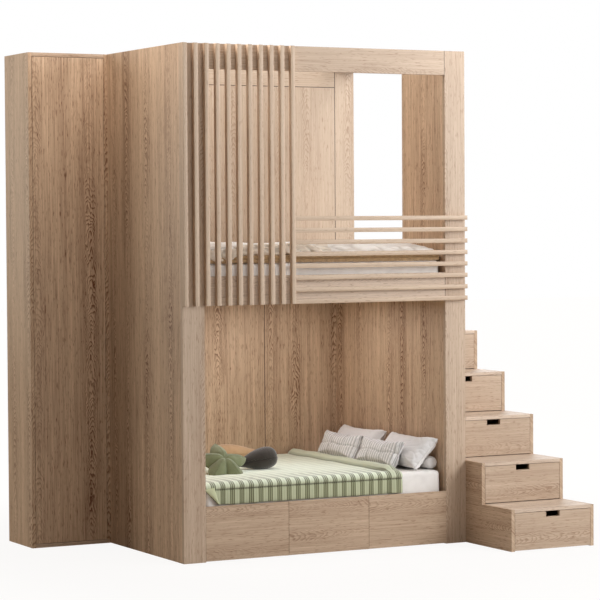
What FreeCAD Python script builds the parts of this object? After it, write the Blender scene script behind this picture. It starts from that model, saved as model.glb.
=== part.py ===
import FreeCAD, Part
import math
import os

# A bunk bed in oak veneer: two beds between thick hollow walls, three drawers under the lower
# bed, a slatted front, a tall cabinet at the back left and a staircase of drawers on the right.
# Millimetres, +X to the right, +Y to the back, +Z up. The origin is the middle of the footprint.

# Driving sizes of the whole.
HEIGHT = 2400.0
BED_WIDTH = 1522.0
BED_DEPTH = 1175.0
CABINET_WIDTH = 412.0
CABINET_DEPTH = 317.0
STAIR_WIDTH = 470.0
STAIR_REACH = 413.0
STEP_COUNT = 6
STEP_RISE = 200.5

# Boards.
BOARD = 18.0
FACE_BOARD = 22.0
THIN_PANEL = 6.0
WALL_THICKNESS = 112.0
BACK_WALL_THICKNESS = 59.0
STUD_WIDTH = 44.0

# Front frame and back wall.
TOP_RAIL_HEIGHT = 117.0
HEADER_HEIGHT = 120.0
BACK_SEAM_FROM_LEFT = 985.0
STUD_BAYS = 3
DOORWAY_STUD_BAYS = 1

# Doorway to the stairs in the right wall.
DOORWAY_FROM_FRONT = 415.0
DOORWAY_HEAD_RAIL = 40.0

# Platform of the upper bed.
PLATFORM_UNDERSIDE = 1190.0
PLATFORM_BOARD_HEIGHT = 135.0
CEILING_PANEL = 12.0
LEDGER_WIDTH = 40.0
UPPER_LEDGER_HEIGHT = 45.0

# Lower bed.
LOWER_LEDGER_UNDERSIDE = 182.0
LOWER_LEDGER_HEIGHT = 40.0

# Slatted bases, the same for both beds.
BASE_SLAT_COUNT = 12
BASE_SLAT_WIDTH = 70.0
BASE_SLAT_THICKNESS = 18.0

# Slats and guard rails on the front, cut from one strip.
STRIP_FACE = 21.0
STRIP_DEPTH = 24.0
STRIP_PITCH = 55.8
FRONT_SLAT_COUNT = 11
GUARD_RAIL_COUNT = 8

# Screws and dowels of the strips.
SCREW_RADIUS = 2.0
SCREW_HEAD_RADIUS = 4.0
SCREW_HEAD_HEIGHT = 3.0
SCREW_BITE = 14.0
SLAT_SCREW_FROM_END = 38.0
DOWEL_RADIUS = 3.0
DOWEL_IN_SLAT = 13.0
DOWEL_IN_RAIL = 17.0
RAIL_SCREW_INSET = 56.0

# Drawers under the lower bed.
BED_DRAWER_COUNT = 3
BED_DRAWER_FRONT_TOP = 258.0
BED_DRAWER_FRONT_THICKNESS = 20.0
FLOOR_GAP = 4.0
FRONT_GAP = 2.0
BED_DRAWER_BOX_BOTTOM = 16.0
BED_DRAWER_BOX_HEIGHT = 152.0
BED_DRAWER_LENGTH = 640.0
FINGER_REBATE_DEPTH = 8.0
FINGER_REBATE_HEIGHT = 14.0

# Drawer boxes and their wooden runners.
BOX_BOARD = 12.0
BOX_BOTTOM_RAISE = 8.0
DRAWER_SIDE_GAP = 8.0
GROOVE_DEPTH = 6.0
RUNNER_HEIGHT = 16.0
RUNNER_CLEARANCE = 0.4
RUNNER_START = 12.0

# Stairs.
TREAD_THICKNESS = 16.0
TREAD_LAP = 40.0
STEP_DRAWER_COUNT = 5
STEP_DRAWER_BACK_GAP = 23.0
STEP_BOX_RAISE = 12.0
STEP_BOX_HEIGHT = 134.0
GRIP_WIDTH = 78.0
GRIP_HEIGHT = 26.0

# Cabinet.
SHELF_COUNT = 5
SHELF_SETBACK = 10.0
DOOR_GAP = 2.0
PIVOT_FROM_EDGE = 14.0
PIVOT_FROM_FACE = 6.5
PIVOT_RADIUS = 3.0
PIVOT_CLEARANCE = 0.05
PIVOT_IN_DOOR = 20.0
PIVOT_IN_BOARD = 10.0
PIVOT_END_ROOM = 1.0

# Bedding.
SOFT_GAP = 0.3
MATTRESS_THICKNESS = 117.0
MATTRESS_EDGE = 22.0
MATTRESS_FROM_FRONT = 31.0
MATTRESS_SIDE_GAP = 12.0
MATTRESS_BACK_GAP = 8.0

# Reference planes worked out from the sizes above.
BED_LEFT = (CABINET_WIDTH - STAIR_WIDTH - BED_WIDTH) / 2
BED_RIGHT = BED_LEFT + BED_WIDTH
CABINET_LEFT = BED_LEFT - CABINET_WIDTH
STAIR_RIGHT = BED_RIGHT + STAIR_WIDTH
FRONT = (STAIR_REACH - BED_DEPTH) / 2
BACK = FRONT + BED_DEPTH
STAIR_FRONT = FRONT - STAIR_REACH
INNER_LEFT = BED_LEFT + WALL_THICKNESS
INNER_RIGHT = BED_RIGHT - WALL_THICKNESS
INNER_BACK = BACK - BACK_WALL_THICKNESS
FRAME_BACK = FRONT + FACE_BOARD
PLATFORM_TOP = PLATFORM_UNDERSIDE + PLATFORM_BOARD_HEIGHT
DOORWAY_FRONT = FRONT + DOORWAY_FROM_FRONT
UPPER_LEDGER_UNDERSIDE = PLATFORM_UNDERSIDE + CEILING_PANEL
UPPER_DECK = UPPER_LEDGER_UNDERSIDE + UPPER_LEDGER_HEIGHT + BASE_SLAT_THICKNESS
LOWER_DECK = LOWER_LEDGER_UNDERSIDE + LOWER_LEDGER_HEIGHT + BASE_SLAT_THICKNESS
STEP_GOING = (STAIR_REACH + BED_DEPTH) / STEP_COUNT
STEP_DRAWER_ROOM = STEP_GOING * (STEP_COUNT - STEP_DRAWER_COUNT + 1)
STEP_DRAWER_LENGTH = STEP_DRAWER_ROOM - 2 * BOARD - STEP_DRAWER_BACK_GAP
LOWER_MATTRESS_TOP = LOWER_DECK + SOFT_GAP + MATTRESS_THICKNESS
UPPER_MATTRESS_TOP = UPPER_DECK + SOFT_GAP + MATTRESS_THICKNESS


def block(x0, x1, y0, y1, z0, z1):
    """A rectangular board between two corners."""
    return Part.makeBox(x1 - x0, y1 - y0, z1 - z0, FreeCAD.Vector(x0, y0, z0))


def save(name, *solids):
    """Writes one node, a single solid or a group of separate solids."""
    shape = solids[0] if len(solids) == 1 else Part.makeCompound(list(solids))
    shape.exportStep("parts/" + name + ".step")


def extrude_yz(points, x0, x1):
    """A board with an outline in the YZ plane, from x0 to x1."""
    vectors = [FreeCAD.Vector(x0, y, z) for y, z in points]
    wire = Part.makePolygon(vectors + vectors[:1])
    return Part.Face(wire).extrude(FreeCAD.Vector(x1 - x0, 0, 0))


def front_slat_left(index):
    return BED_LEFT + index * STRIP_PITCH


def guard_rail_bottom(index):
    return PLATFORM_UNDERSIDE + index * STRIP_PITCH


GUARD_LEFT = front_slat_left(FRONT_SLAT_COUNT - 1) + STRIP_FACE


def strip_screw(x, z):
    """A screw driven from behind the front frame into a slat or a guard rail."""
    toward_front = FreeCAD.Vector(0, -1, 0)
    start = FreeCAD.Vector(x, FRAME_BACK, z)
    shank = Part.makeCylinder(SCREW_RADIUS, FACE_BOARD + SCREW_BITE, start, toward_front)
    head = Part.makeCylinder(SCREW_HEAD_RADIUS, SCREW_HEAD_HEIGHT, start, toward_front)
    return shank.fuse(head)


def strip_screws():
    """Two screws in each slat, one or two in each guard rail."""
    screws = []
    for index in range(FRONT_SLAT_COUNT):
        x = front_slat_left(index) + STRIP_FACE / 2
        screws.append(strip_screw(x, HEIGHT - SLAT_SCREW_FROM_END))
        screws.append(strip_screw(x, PLATFORM_UNDERSIDE + SLAT_SCREW_FROM_END))
    for index in range(GUARD_RAIL_COUNT):
        z = guard_rail_bottom(index) + STRIP_FACE / 2
        screws.append(strip_screw(BED_RIGHT - RAIL_SCREW_INSET, z))
        if z + STRIP_FACE / 2 < PLATFORM_TOP:
            screws.append(strip_screw(GUARD_LEFT + RAIL_SCREW_INSET, z))
    return screws


def rail_dowels():
    """Dowels from the last slat into the ends of the guard rails."""
    dowels = []
    for index in range(GUARD_RAIL_COUNT):
        z = guard_rail_bottom(index) + STRIP_FACE / 2
        start = FreeCAD.Vector(GUARD_LEFT - DOWEL_IN_SLAT, FRONT - STRIP_DEPTH / 2, z)
        length = DOWEL_IN_SLAT + DOWEL_IN_RAIL
        dowels.append(Part.makeCylinder(DOWEL_RADIUS, length, start, FreeCAD.Vector(1, 0, 0)))
    return dowels


def front_frame(screws):
    """Posts, top rail and platform board lie flush in the front plane."""
    holes = Part.makeCompound(screws)
    save("front_posts",
         block(BED_LEFT, INNER_LEFT, FRONT, FRAME_BACK, 0, HEIGHT).cut(holes),
         block(INNER_RIGHT, BED_RIGHT, FRONT, FRAME_BACK, 0, HEIGHT).cut(holes))
    save("front_top_rail",
         block(INNER_LEFT, INNER_RIGHT, FRONT, FRAME_BACK, HEIGHT - TOP_RAIL_HEIGHT, HEIGHT).cut(holes))
    save("platform_front_board",
         block(INNER_LEFT, INNER_RIGHT, FRONT, FRAME_BACK, PLATFORM_UNDERSIDE, PLATFORM_TOP).cut(holes))


def front_strips(screws, dowels):
    """Eleven upright slats, and the guard rails that butt against the last of them."""
    holes = Part.makeCompound(screws + dowels)
    slats = []
    for index in range(FRONT_SLAT_COUNT):
        x = front_slat_left(index)
        strip = block(x, x + STRIP_FACE, FRONT - STRIP_DEPTH, FRONT, PLATFORM_UNDERSIDE, HEIGHT)
        slats.append(strip.cut(holes))
    save("vertical_slats", *slats)
    rails = []
    for index in range(GUARD_RAIL_COUNT):
        z = guard_rail_bottom(index)
        strip = block(GUARD_LEFT, BED_RIGHT, FRONT - STRIP_DEPTH, FRONT, z, z + STRIP_FACE)
        rails.append(strip.cut(holes))
    save("guard_rails", *rails)


def side_walls():
    """Hollow walls: an outer and an inner panel on a timber core."""
    save("left_wall_panels",
         block(BED_LEFT, BED_LEFT + BOARD, FRAME_BACK, INNER_BACK, 0, HEIGHT),
         block(INNER_LEFT - BOARD, INNER_LEFT, FRAME_BACK, INNER_BACK, 0, HEIGHT))
    jamb = DOORWAY_FRONT - BOARD
    sill = PLATFORM_TOP - BOARD
    outline = [(FRAME_BACK, 0), (INNER_BACK, 0), (INNER_BACK, sill), (jamb, sill),
               (jamb, HEIGHT), (FRAME_BACK, HEIGHT)]
    save("right_wall_outer_panel", extrude_yz(outline, BED_RIGHT - BOARD, BED_RIGHT))
    save("right_wall_inner_panel", extrude_yz(outline, INNER_RIGHT, INNER_RIGHT + BOARD))


def doorway_lining():
    """Sill, front jamb and head rail of the doorway, across the whole wall."""
    sill = block(INNER_RIGHT, BED_RIGHT, DOORWAY_FRONT, INNER_BACK, PLATFORM_TOP - BOARD, PLATFORM_TOP)
    jamb = block(INNER_RIGHT, BED_RIGHT, DOORWAY_FRONT - BOARD, DOORWAY_FRONT,
                 PLATFORM_TOP - BOARD, HEIGHT)
    head = block(INNER_RIGHT, BED_RIGHT, DOORWAY_FRONT, INNER_BACK,
                 HEIGHT - DOORWAY_HEAD_RAIL, HEIGHT)
    save("doorway_lining", sill, jamb, head)


def stud_frame(x0, x1, y0, y1, bottom, top, bays, across=False):
    """A bottom plate, a top plate and studs between them, spread along Y or across X."""
    low = bottom + STUD_WIDTH
    high = top - STUD_WIDTH
    timbers = [block(x0, x1, y0, y1, bottom, low), block(x0, x1, y0, y1, high, top)]
    for bay in range(bays + 1):
        if across:
            x = x0 + bay * (x1 - x0 - STUD_WIDTH) / bays
            timbers.append(block(x, x + STUD_WIDTH, y0, y1, low, high))
        else:
            y = y0 + bay * (y1 - y0 - STUD_WIDTH) / bays
            timbers.append(block(x0, x1, y, y + STUD_WIDTH, low, high))
    return timbers


def wall_studs():
    """Timber cores of the hollow walls; the right wall's core steps down at the doorway."""
    sill = PLATFORM_TOP - BOARD
    jamb = DOORWAY_FRONT - BOARD
    timbers = stud_frame(BED_LEFT + BOARD, INNER_LEFT - BOARD, FRAME_BACK, INNER_BACK,
                         0, HEIGHT, STUD_BAYS)
    timbers += stud_frame(INNER_RIGHT + BOARD, BED_RIGHT - BOARD, FRAME_BACK, INNER_BACK,
                          0, sill, STUD_BAYS)
    timbers += stud_frame(INNER_RIGHT + BOARD, BED_RIGHT - BOARD, FRAME_BACK, jamb,
                          sill, HEIGHT, DOORWAY_STUD_BAYS)
    timbers += stud_frame(INNER_LEFT, INNER_RIGHT, INNER_BACK + BOARD, BACK - BOARD,
                          0, HEIGHT, STUD_BAYS, across=True)
    save("wall_studs", *timbers)


def back_wall():
    """Posts at both ends, lining boards inside and one panel outside."""
    save("back_posts",
         block(BED_LEFT, INNER_LEFT, INNER_BACK, BACK, 0, HEIGHT),
         block(INNER_RIGHT, BED_RIGHT, INNER_BACK, BACK, 0, HEIGHT))
    lining_back = INNER_BACK + BOARD
    seam = BED_LEFT + BACK_SEAM_FROM_LEFT
    header = HEIGHT - HEADER_HEIGHT
    save("lower_back_lining",
         block(INNER_LEFT, seam, INNER_BACK, lining_back, 0, PLATFORM_UNDERSIDE),
         block(seam, INNER_RIGHT, INNER_BACK, lining_back, 0, PLATFORM_UNDERSIDE))
    save("upper_back_lining",
         block(INNER_LEFT, INNER_RIGHT, INNER_BACK, lining_back, PLATFORM_UNDERSIDE, header),
         block(INNER_LEFT, INNER_RIGHT, INNER_BACK, lining_back, header, HEIGHT))
    save("back_outer_panel", block(INNER_LEFT, INNER_RIGHT, BACK - BOARD, BACK, 0, HEIGHT))


def ledgers_at(underside, height):
    """Front, middle and back ledgers under one slatted base."""
    middle = (FRAME_BACK + INNER_BACK - LEDGER_WIDTH) / 2
    starts = [FRAME_BACK, middle, INNER_BACK - LEDGER_WIDTH]
    return [block(INNER_LEFT, INNER_RIGHT, y, y + LEDGER_WIDTH, underside, underside + height)
            for y in starts]


def base_slats_at(deck):
    """The slats that lie across the ledgers, evenly spaced."""
    pitch = (INNER_RIGHT - INNER_LEFT - BASE_SLAT_WIDTH) / (BASE_SLAT_COUNT - 1)
    starts = [INNER_LEFT + index * pitch for index in range(BASE_SLAT_COUNT)]
    return [block(x, x + BASE_SLAT_WIDTH, FRAME_BACK, INNER_BACK, deck - BASE_SLAT_THICKNESS, deck)
            for x in starts]


def bed_bases():
    save("platform_ceiling_panel",
         block(INNER_LEFT, INNER_RIGHT, FRAME_BACK, INNER_BACK,
               PLATFORM_UNDERSIDE, UPPER_LEDGER_UNDERSIDE))
    save("bed_ledgers", *ledgers_at(LOWER_LEDGER_UNDERSIDE, LOWER_LEDGER_HEIGHT),
         *ledgers_at(UPPER_LEDGER_UNDERSIDE, UPPER_LEDGER_HEIGHT))
    save("bed_base_slats", *base_slats_at(LOWER_DECK), *base_slats_at(UPPER_DECK))


BAY_PITCH = (INNER_RIGHT - INNER_LEFT) / BED_DRAWER_COUNT


def bay_sides(index):
    """Left and right faces of the room for one bed drawer."""
    left = INNER_LEFT + index * BAY_PITCH
    right = left + BAY_PITCH
    if index > 0:
        left += BOARD / 2
    if index < BED_DRAWER_COUNT - 1:
        right -= BOARD / 2
    return left, right


def drawer_dividers():
    """Upright boards between the bed drawers, which carry the lower ledgers."""
    seams = [INNER_LEFT + index * BAY_PITCH for index in range(1, BED_DRAWER_COUNT)]
    save("drawer_dividers",
         *[block(x - BOARD / 2, x + BOARD / 2, FRAME_BACK, INNER_BACK, 0, LOWER_LEDGER_UNDERSIDE)
           for x in seams])


def runner_pair(left, right, front, length, bottom, box_height):
    """Two wooden strips on the sides of a bay, in the grooves of the drawer's sides."""
    reach = DRAWER_SIDE_GAP + GROOVE_DEPTH - RUNNER_CLEARANCE
    z0 = bottom + (box_height - RUNNER_HEIGHT) / 2
    z1 = z0 + RUNNER_HEIGHT
    y0 = front + RUNNER_START
    y1 = front + length
    return [block(left, left + reach, y0, y1, z0, z1), block(right - reach, right, y0, y1, z0, z1)]


def drawer_box(left, right, front, length, bottom, height):
    """Five boards: grooved sides, inner front, back and a raised bottom."""
    x0 = left + DRAWER_SIDE_GAP
    x1 = right - DRAWER_SIDE_GAP
    back = front + length
    top = bottom + height
    groove_low = bottom + (height - RUNNER_HEIGHT) / 2 - RUNNER_CLEARANCE
    groove_high = groove_low + RUNNER_HEIGHT + 2 * RUNNER_CLEARANCE
    left_side = block(x0, x0 + BOX_BOARD, front, back, bottom, top)
    left_side = left_side.cut(block(x0, x0 + GROOVE_DEPTH, front, back, groove_low, groove_high))
    right_side = block(x1 - BOX_BOARD, x1, front, back, bottom, top)
    right_side = right_side.cut(block(x1 - GROOVE_DEPTH, x1, front, back, groove_low, groove_high))
    inner_left = x0 + BOX_BOARD
    inner_right = x1 - BOX_BOARD
    inner_front = block(inner_left, inner_right, front, front + BOX_BOARD, bottom, top)
    inner_back = block(inner_left, inner_right, back - BOX_BOARD, back, bottom, top)
    floor = bottom + BOX_BOTTOM_RAISE
    panel = block(inner_left, inner_right, front + BOX_BOARD, back - BOX_BOARD,
                  floor, floor + THIN_PANEL)
    return [left_side, right_side, inner_front, inner_back, panel]


def bed_drawers():
    """Plain fronts flush between the posts, pulled by a rebate behind their top edge."""
    names = ["left", "middle", "right"]
    runners = []
    for index in range(BED_DRAWER_COUNT):
        seam_left = INNER_LEFT + index * BAY_PITCH
        x0 = seam_left + FRONT_GAP / 2
        x1 = seam_left + BAY_PITCH - FRONT_GAP / 2
        face_back = FRONT + BED_DRAWER_FRONT_THICKNESS
        face = block(x0, x1, FRONT, face_back, FLOOR_GAP, BED_DRAWER_FRONT_TOP)
        rebate = block(x0, x1, face_back - FINGER_REBATE_DEPTH, face_back,
                       BED_DRAWER_FRONT_TOP - FINGER_REBATE_HEIGHT, BED_DRAWER_FRONT_TOP)
        save("bed_drawer_front_" + names[index], face.cut(rebate))
        left, right = bay_sides(index)
        box = drawer_box(left, right, face_back, BED_DRAWER_LENGTH,
                         BED_DRAWER_BOX_BOTTOM, BED_DRAWER_BOX_HEIGHT)
        save("bed_drawer_box_" + names[index], *box)
        runners += runner_pair(left, right, face_back, BED_DRAWER_LENGTH,
                               BED_DRAWER_BOX_BOTTOM, BED_DRAWER_BOX_HEIGHT)
    return runners


def riser_y(index):
    return STAIR_FRONT + index * STEP_GOING


def tread_top(index):
    return (index + 1) * STEP_RISE


def tier_floor(index):
    """Height on which the drawer of one step has its room: the floor or the tread below."""
    return index * STEP_RISE


def stair_frame():
    """Two stepped sides, six treads between them, a back and the fixed riser of the top step."""
    outline = [(STAIR_FRONT, 0)]
    for index in range(STEP_COUNT):
        outline.append((riser_y(index), tread_top(index)))
        outline.append((riser_y(index + 1), tread_top(index)))
    outline.append((BACK, 0))
    save("stair_sides", extrude_yz(outline, BED_RIGHT, BED_RIGHT + BOARD),
         extrude_yz(outline, STAIR_RIGHT - BOARD, STAIR_RIGHT))
    x0 = BED_RIGHT + BOARD
    x1 = STAIR_RIGHT - BOARD
    treads = []
    for index in range(STEP_COUNT):
        lap = TREAD_LAP if index < STEP_COUNT - 1 else 0
        top = tread_top(index)
        treads.append(block(x0, x1, riser_y(index), riser_y(index + 1) + lap,
                            top - TREAD_THICKNESS, top))
    save("stair_treads", *treads)
    last = STEP_COUNT - 1
    under_top_tread = tread_top(last) - TREAD_THICKNESS
    save("stair_back", block(x0, x1, BACK - BOARD, BACK, 0, under_top_tread))
    save("stair_top_riser",
         block(x0, x1, riser_y(last), riser_y(last) + BOARD, tier_floor(last), under_top_tread))


def step_drawers():
    """One drawer behind each riser but the last, with a notch under the tread as its grip."""
    left = BED_RIGHT + BOARD
    right = STAIR_RIGHT - BOARD
    middle = (left + right) / 2
    runners = []
    for index in range(STEP_DRAWER_COUNT):
        y0 = riser_y(index)
        face_top = tread_top(index) - TREAD_THICKNESS - FRONT_GAP
        face = block(left + FRONT_GAP, right - FRONT_GAP, y0, y0 + BOARD,
                     tier_floor(index) + FLOOR_GAP, face_top)
        grip = block(middle - GRIP_WIDTH / 2, middle + GRIP_WIDTH / 2, y0, y0 + BOARD,
                     face_top - GRIP_HEIGHT, face_top)
        number = str(index + 1)
        save("step_drawer_front_" + number, face.cut(grip))
        bottom = tier_floor(index) + STEP_BOX_RAISE
        save("step_drawer_box_" + number,
             *drawer_box(left, right, y0 + BOARD, STEP_DRAWER_LENGTH, bottom, STEP_BOX_HEIGHT))
        runners += runner_pair(left, right, y0 + BOARD, STEP_DRAWER_LENGTH, bottom, STEP_BOX_HEIGHT)
    return runners


CABINET_FRONT = BACK - CABINET_DEPTH
DOOR_LEFT = CABINET_LEFT + BOARD + DOOR_GAP
DOOR_RIGHT = BED_LEFT - BOARD - DOOR_GAP
DOOR_BOTTOM = BOARD + DOOR_GAP
DOOR_TOP = HEIGHT - BOARD - DOOR_GAP
PIVOT_X = DOOR_LEFT + PIVOT_FROM_EDGE
PIVOT_Y = CABINET_FRONT + PIVOT_FROM_FACE


def pivot(radius, z0, z1):
    return Part.makeCylinder(radius, z1 - z0, FreeCAD.Vector(PIVOT_X, PIVOT_Y, z0))


def cabinet():
    """Tall shelf cabinet whose inset door turns on a pin at its top and one at its foot."""
    inner_left = CABINET_LEFT + BOARD
    inner_right = BED_LEFT - BOARD
    panel_front = BACK - THIN_PANEL
    save("cabinet_sides",
         block(CABINET_LEFT, inner_left, CABINET_FRONT, BACK, 0, HEIGHT),
         block(inner_right, BED_LEFT, CABINET_FRONT, BACK, 0, HEIGHT))
    lower_pin = pivot(PIVOT_RADIUS, BOARD - PIVOT_IN_BOARD, DOOR_BOTTOM + PIVOT_IN_DOOR)
    upper_pin = pivot(PIVOT_RADIUS, DOOR_TOP - PIVOT_IN_DOOR, HEIGHT - BOARD + PIVOT_IN_BOARD)
    save("door_pivot_pins", lower_pin, upper_pin)
    bottom = block(inner_left, inner_right, CABINET_FRONT, BACK, 0, BOARD).cut(lower_pin)
    top = block(inner_left, inner_right, CABINET_FRONT, BACK, HEIGHT - BOARD, HEIGHT).cut(upper_pin)
    save("cabinet_top_and_bottom", bottom, top)
    save("cabinet_back", block(inner_left, inner_right, panel_front, BACK, BOARD, HEIGHT - BOARD))
    pitch = (HEIGHT - BOARD) / (SHELF_COUNT + 1)
    shelf_front = CABINET_FRONT + BOARD + SHELF_SETBACK
    save("cabinet_shelves",
         *[block(inner_left, inner_right, shelf_front, panel_front, z, z + BOARD)
           for z in [pitch * (index + 1) for index in range(SHELF_COUNT)]])
    door = block(DOOR_LEFT, DOOR_RIGHT, CABINET_FRONT, CABINET_FRONT + BOARD, DOOR_BOTTOM, DOOR_TOP)
    hole = PIVOT_RADIUS + PIVOT_CLEARANCE
    depth = PIVOT_IN_DOOR + PIVOT_END_ROOM
    door = door.cut(pivot(hole, DOOR_BOTTOM, DOOR_BOTTOM + depth))
    door = door.cut(pivot(hole, DOOR_TOP - depth, DOOR_TOP))
    save("cabinet_door", door)


# Soft pieces. A padded form is a loft through outlines that shrink from its seam to its crown.
CROWN_STEPS = 4
CROWN_END_DEGREES = 72.0
DRAWN_IN_SHARE = 0.035
CORNER_SHARE = 0.10


def mattress(bottom, front):
    """Foam in a white sheet, rounded at its top and upright edges."""
    body = block(INNER_LEFT + MATTRESS_SIDE_GAP, INNER_RIGHT - MATTRESS_SIDE_GAP,
                 front, INNER_BACK - MATTRESS_BACK_GAP, bottom, bottom + MATTRESS_THICKNESS)
    rounded = [edge for edge in body.Edges
               if edge.BoundBox.ZMax > bottom + MATTRESS_THICKNESS / 2]
    return body.makeFillet(MATTRESS_EDGE, rounded)


def curve(a, middle, b):
    return Part.Arc(a, middle, b).toShape()


def cushion_outline(width, height, z, scale):
    """A rectangle whose sides are drawn in between rounded corners."""
    half_w = width * scale / 2
    half_h = height * scale / 2
    corner = min(half_w, half_h) * 2 * CORNER_SHARE
    dip_w = half_w * 2 * DRAWN_IN_SHARE
    dip_h = half_h * 2 * DRAWN_IN_SHARE
    cut = corner * (1 - math.sqrt(0.5))
    v = FreeCAD.Vector
    right_low, right_high = v(half_w, corner - half_h, z), v(half_w, half_h - corner, z)
    top_right, top_left = v(half_w - corner, half_h, z), v(corner - half_w, half_h, z)
    left_high, left_low = v(-half_w, half_h - corner, z), v(-half_w, corner - half_h, z)
    low_left, low_right = v(corner - half_w, -half_h, z), v(half_w - corner, -half_h, z)
    edges = [
        curve(right_low, v(half_w - dip_h, 0, z), right_high),
        curve(right_high, v(half_w - cut, half_h - cut, z), top_right),
        curve(top_right, v(0, half_h - dip_w, z), top_left),
        curve(top_left, v(cut - half_w, half_h - cut, z), left_high),
        curve(left_high, v(dip_h - half_w, 0, z), left_low),
        curve(left_low, v(cut - half_w, cut - half_h, z), low_left),
        curve(low_left, v(0, dip_w - half_h, z), low_right),
        curve(low_right, v(half_w - cut, cut - half_h, z), right_low),
    ]
    return Part.Wire(edges)


def crowned(outline, thickness):
    """Loft from one crown through the seam to the other, on an elliptical profile."""
    end = math.radians(CROWN_END_DEGREES)
    wires = []
    for step in range(-CROWN_STEPS, CROWN_STEPS + 1):
        angle = end * step / CROWN_STEPS
        level = math.sin(angle) / math.sin(end)
        wires.append(outline(level * thickness / 2, math.cos(angle)))
    return Part.makeLoft(wires, True, True)


def leaning(solid, angle, x, y, z):
    """Turns a flat cushion so that its width runs front to back and it leans to the right."""
    solid.rotate(FreeCAD.Vector(0, 0, 0), FreeCAD.Vector(0, 0, 1), 90)
    solid.rotate(FreeCAD.Vector(0, 0, 0), FreeCAD.Vector(0, 1, 0), angle)
    solid.translate(FreeCAD.Vector(x, y, z))
    return solid


def resting(solid, level):
    """Cuts a soft form flat where it lies on a surface."""
    box = solid.BoundBox
    if box.ZMin >= level:
        return solid
    return solid.cut(block(box.XMin, box.XMax, box.YMin, box.YMax, box.ZMin, level))


# Pillows and cushions at the right end of the lower bed.
PILLOW_HEIGHT = 215.0
PILLOW_THICKNESS = 80.0
PILLOW_LEAN_DEGREES = 47.0
PILLOW_FROM_WALL = 90.0
PILLOW_ABOVE_MATTRESS = 83.0
PILLOW_FRONT_MARGIN = 25.0
PILLOW_BACK_MARGIN = 137.0
PILLOW_SPACE = 54.0
CUSHION_HEIGHT = 160.0
CUSHION_THICKNESS = 58.0
CUSHION_LEAN_DEGREES = 66.0
CUSHION_FROM_WALL = 186.5
CUSHION_ABOVE_MATTRESS = 73.0
CUSHION_FRONT_MARGIN = 125.5
CUSHION_BACK_MARGIN = 177.5
CUSHION_SPACE = 3.0
CHANNEL_WIDTH = 4.0
CHANNEL_DEPTH = 3.0
CHANNEL_PLACE_SHARES = (-0.17, 0.17)
BOLSTER_RADIUS = 33.0
BOLSTER_FRONT_MARGIN = 72.0
BOLSTER_BACK_MARGIN = 84.0
BOLSTER_END = 12.0
PILLOW_WIDTH = (INNER_BACK - FRONT - PILLOW_FRONT_MARGIN - PILLOW_BACK_MARGIN - PILLOW_SPACE) / 2
CUSHION_WIDTH = (INNER_BACK - FRONT - CUSHION_FRONT_MARGIN - CUSHION_BACK_MARGIN
                 - CUSHION_SPACE) / 2


def quilted_cushion():
    """A flat cushion with one stitched channel along it and two across it, on both faces."""
    form = crowned(lambda z, size: cushion_outline(CUSHION_WIDTH, CUSHION_HEIGHT, z, size),
                   CUSHION_THICKNESS)
    core = crowned(lambda z, size: cushion_outline(CUSHION_WIDTH, CUSHION_HEIGHT, z, size),
                   CUSHION_THICKNESS - 2 * CHANNEL_DEPTH)
    half_w = CUSHION_WIDTH / 2
    half_h = CUSHION_HEIGHT / 2
    half_channel = CHANNEL_WIDTH / 2
    channels = block(-half_w, half_w, -half_channel, half_channel,
                     -CUSHION_THICKNESS, CUSHION_THICKNESS)
    for share in CHANNEL_PLACE_SHARES:
        x = share * CUSHION_WIDTH
        channels = channels.fuse(block(x - half_channel, x + half_channel, -half_h, half_h,
                                       -CUSHION_THICKNESS, CUSHION_THICKNESS))
    return form.cut(channels.cut(core))


def pillows():
    level = LOWER_MATTRESS_TOP + SOFT_GAP
    names = ["front", "back"]
    for index in range(len(names)):
        form = crowned(lambda z, size: cushion_outline(PILLOW_WIDTH, PILLOW_HEIGHT, z, size),
                       PILLOW_THICKNESS)
        middle = FRONT + PILLOW_FRONT_MARGIN + PILLOW_WIDTH / 2 + index * (PILLOW_WIDTH + PILLOW_SPACE)
        form = leaning(form, -PILLOW_LEAN_DEGREES, INNER_RIGHT - PILLOW_FROM_WALL, middle,
                       LOWER_MATTRESS_TOP + PILLOW_ABOVE_MATTRESS)
        save("white_pillow_" + names[index], resting(form, level))
        middle = (FRONT + CUSHION_FRONT_MARGIN + CUSHION_WIDTH / 2
                  + index * (CUSHION_WIDTH + CUSHION_SPACE))
        form = leaning(quilted_cushion(), -CUSHION_LEAN_DEGREES, INNER_RIGHT - CUSHION_FROM_WALL,
                       middle, LOWER_MATTRESS_TOP + CUSHION_ABOVE_MATTRESS)
        save("quilted_cushion_" + names[index], resting(form, level))
    start = FRONT + BOLSTER_FRONT_MARGIN
    length = INNER_BACK - BOLSTER_BACK_MARGIN - start
    centre = FreeCAD.Vector(INNER_RIGHT - BOLSTER_RADIUS - SOFT_GAP, start,
                            LOWER_MATTRESS_TOP + BOLSTER_RADIUS)
    roll = Part.makeCylinder(BOLSTER_RADIUS, length, centre, FreeCAD.Vector(0, 1, 0))
    ends = [edge for edge in roll.Edges if edge.Closed]
    roll = roll.makeFillet(BOLSTER_END, ends)
    save("white_bolster", resting(roll, level))


# Green striped blanket: a thin sheet over the lower mattress with a drop down its front and a
# folded border across the bed at its right end.
BLANKET_THICKNESS = 7.0
BLANKET_FROM_RIGHT = 230.0
BLANKET_BACK_GAP = 20.0
BLANKET_DROP_END = 4.0
BORDER_WIDTH = 74.0
BORDER_HEIGHT = 26.0


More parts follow.
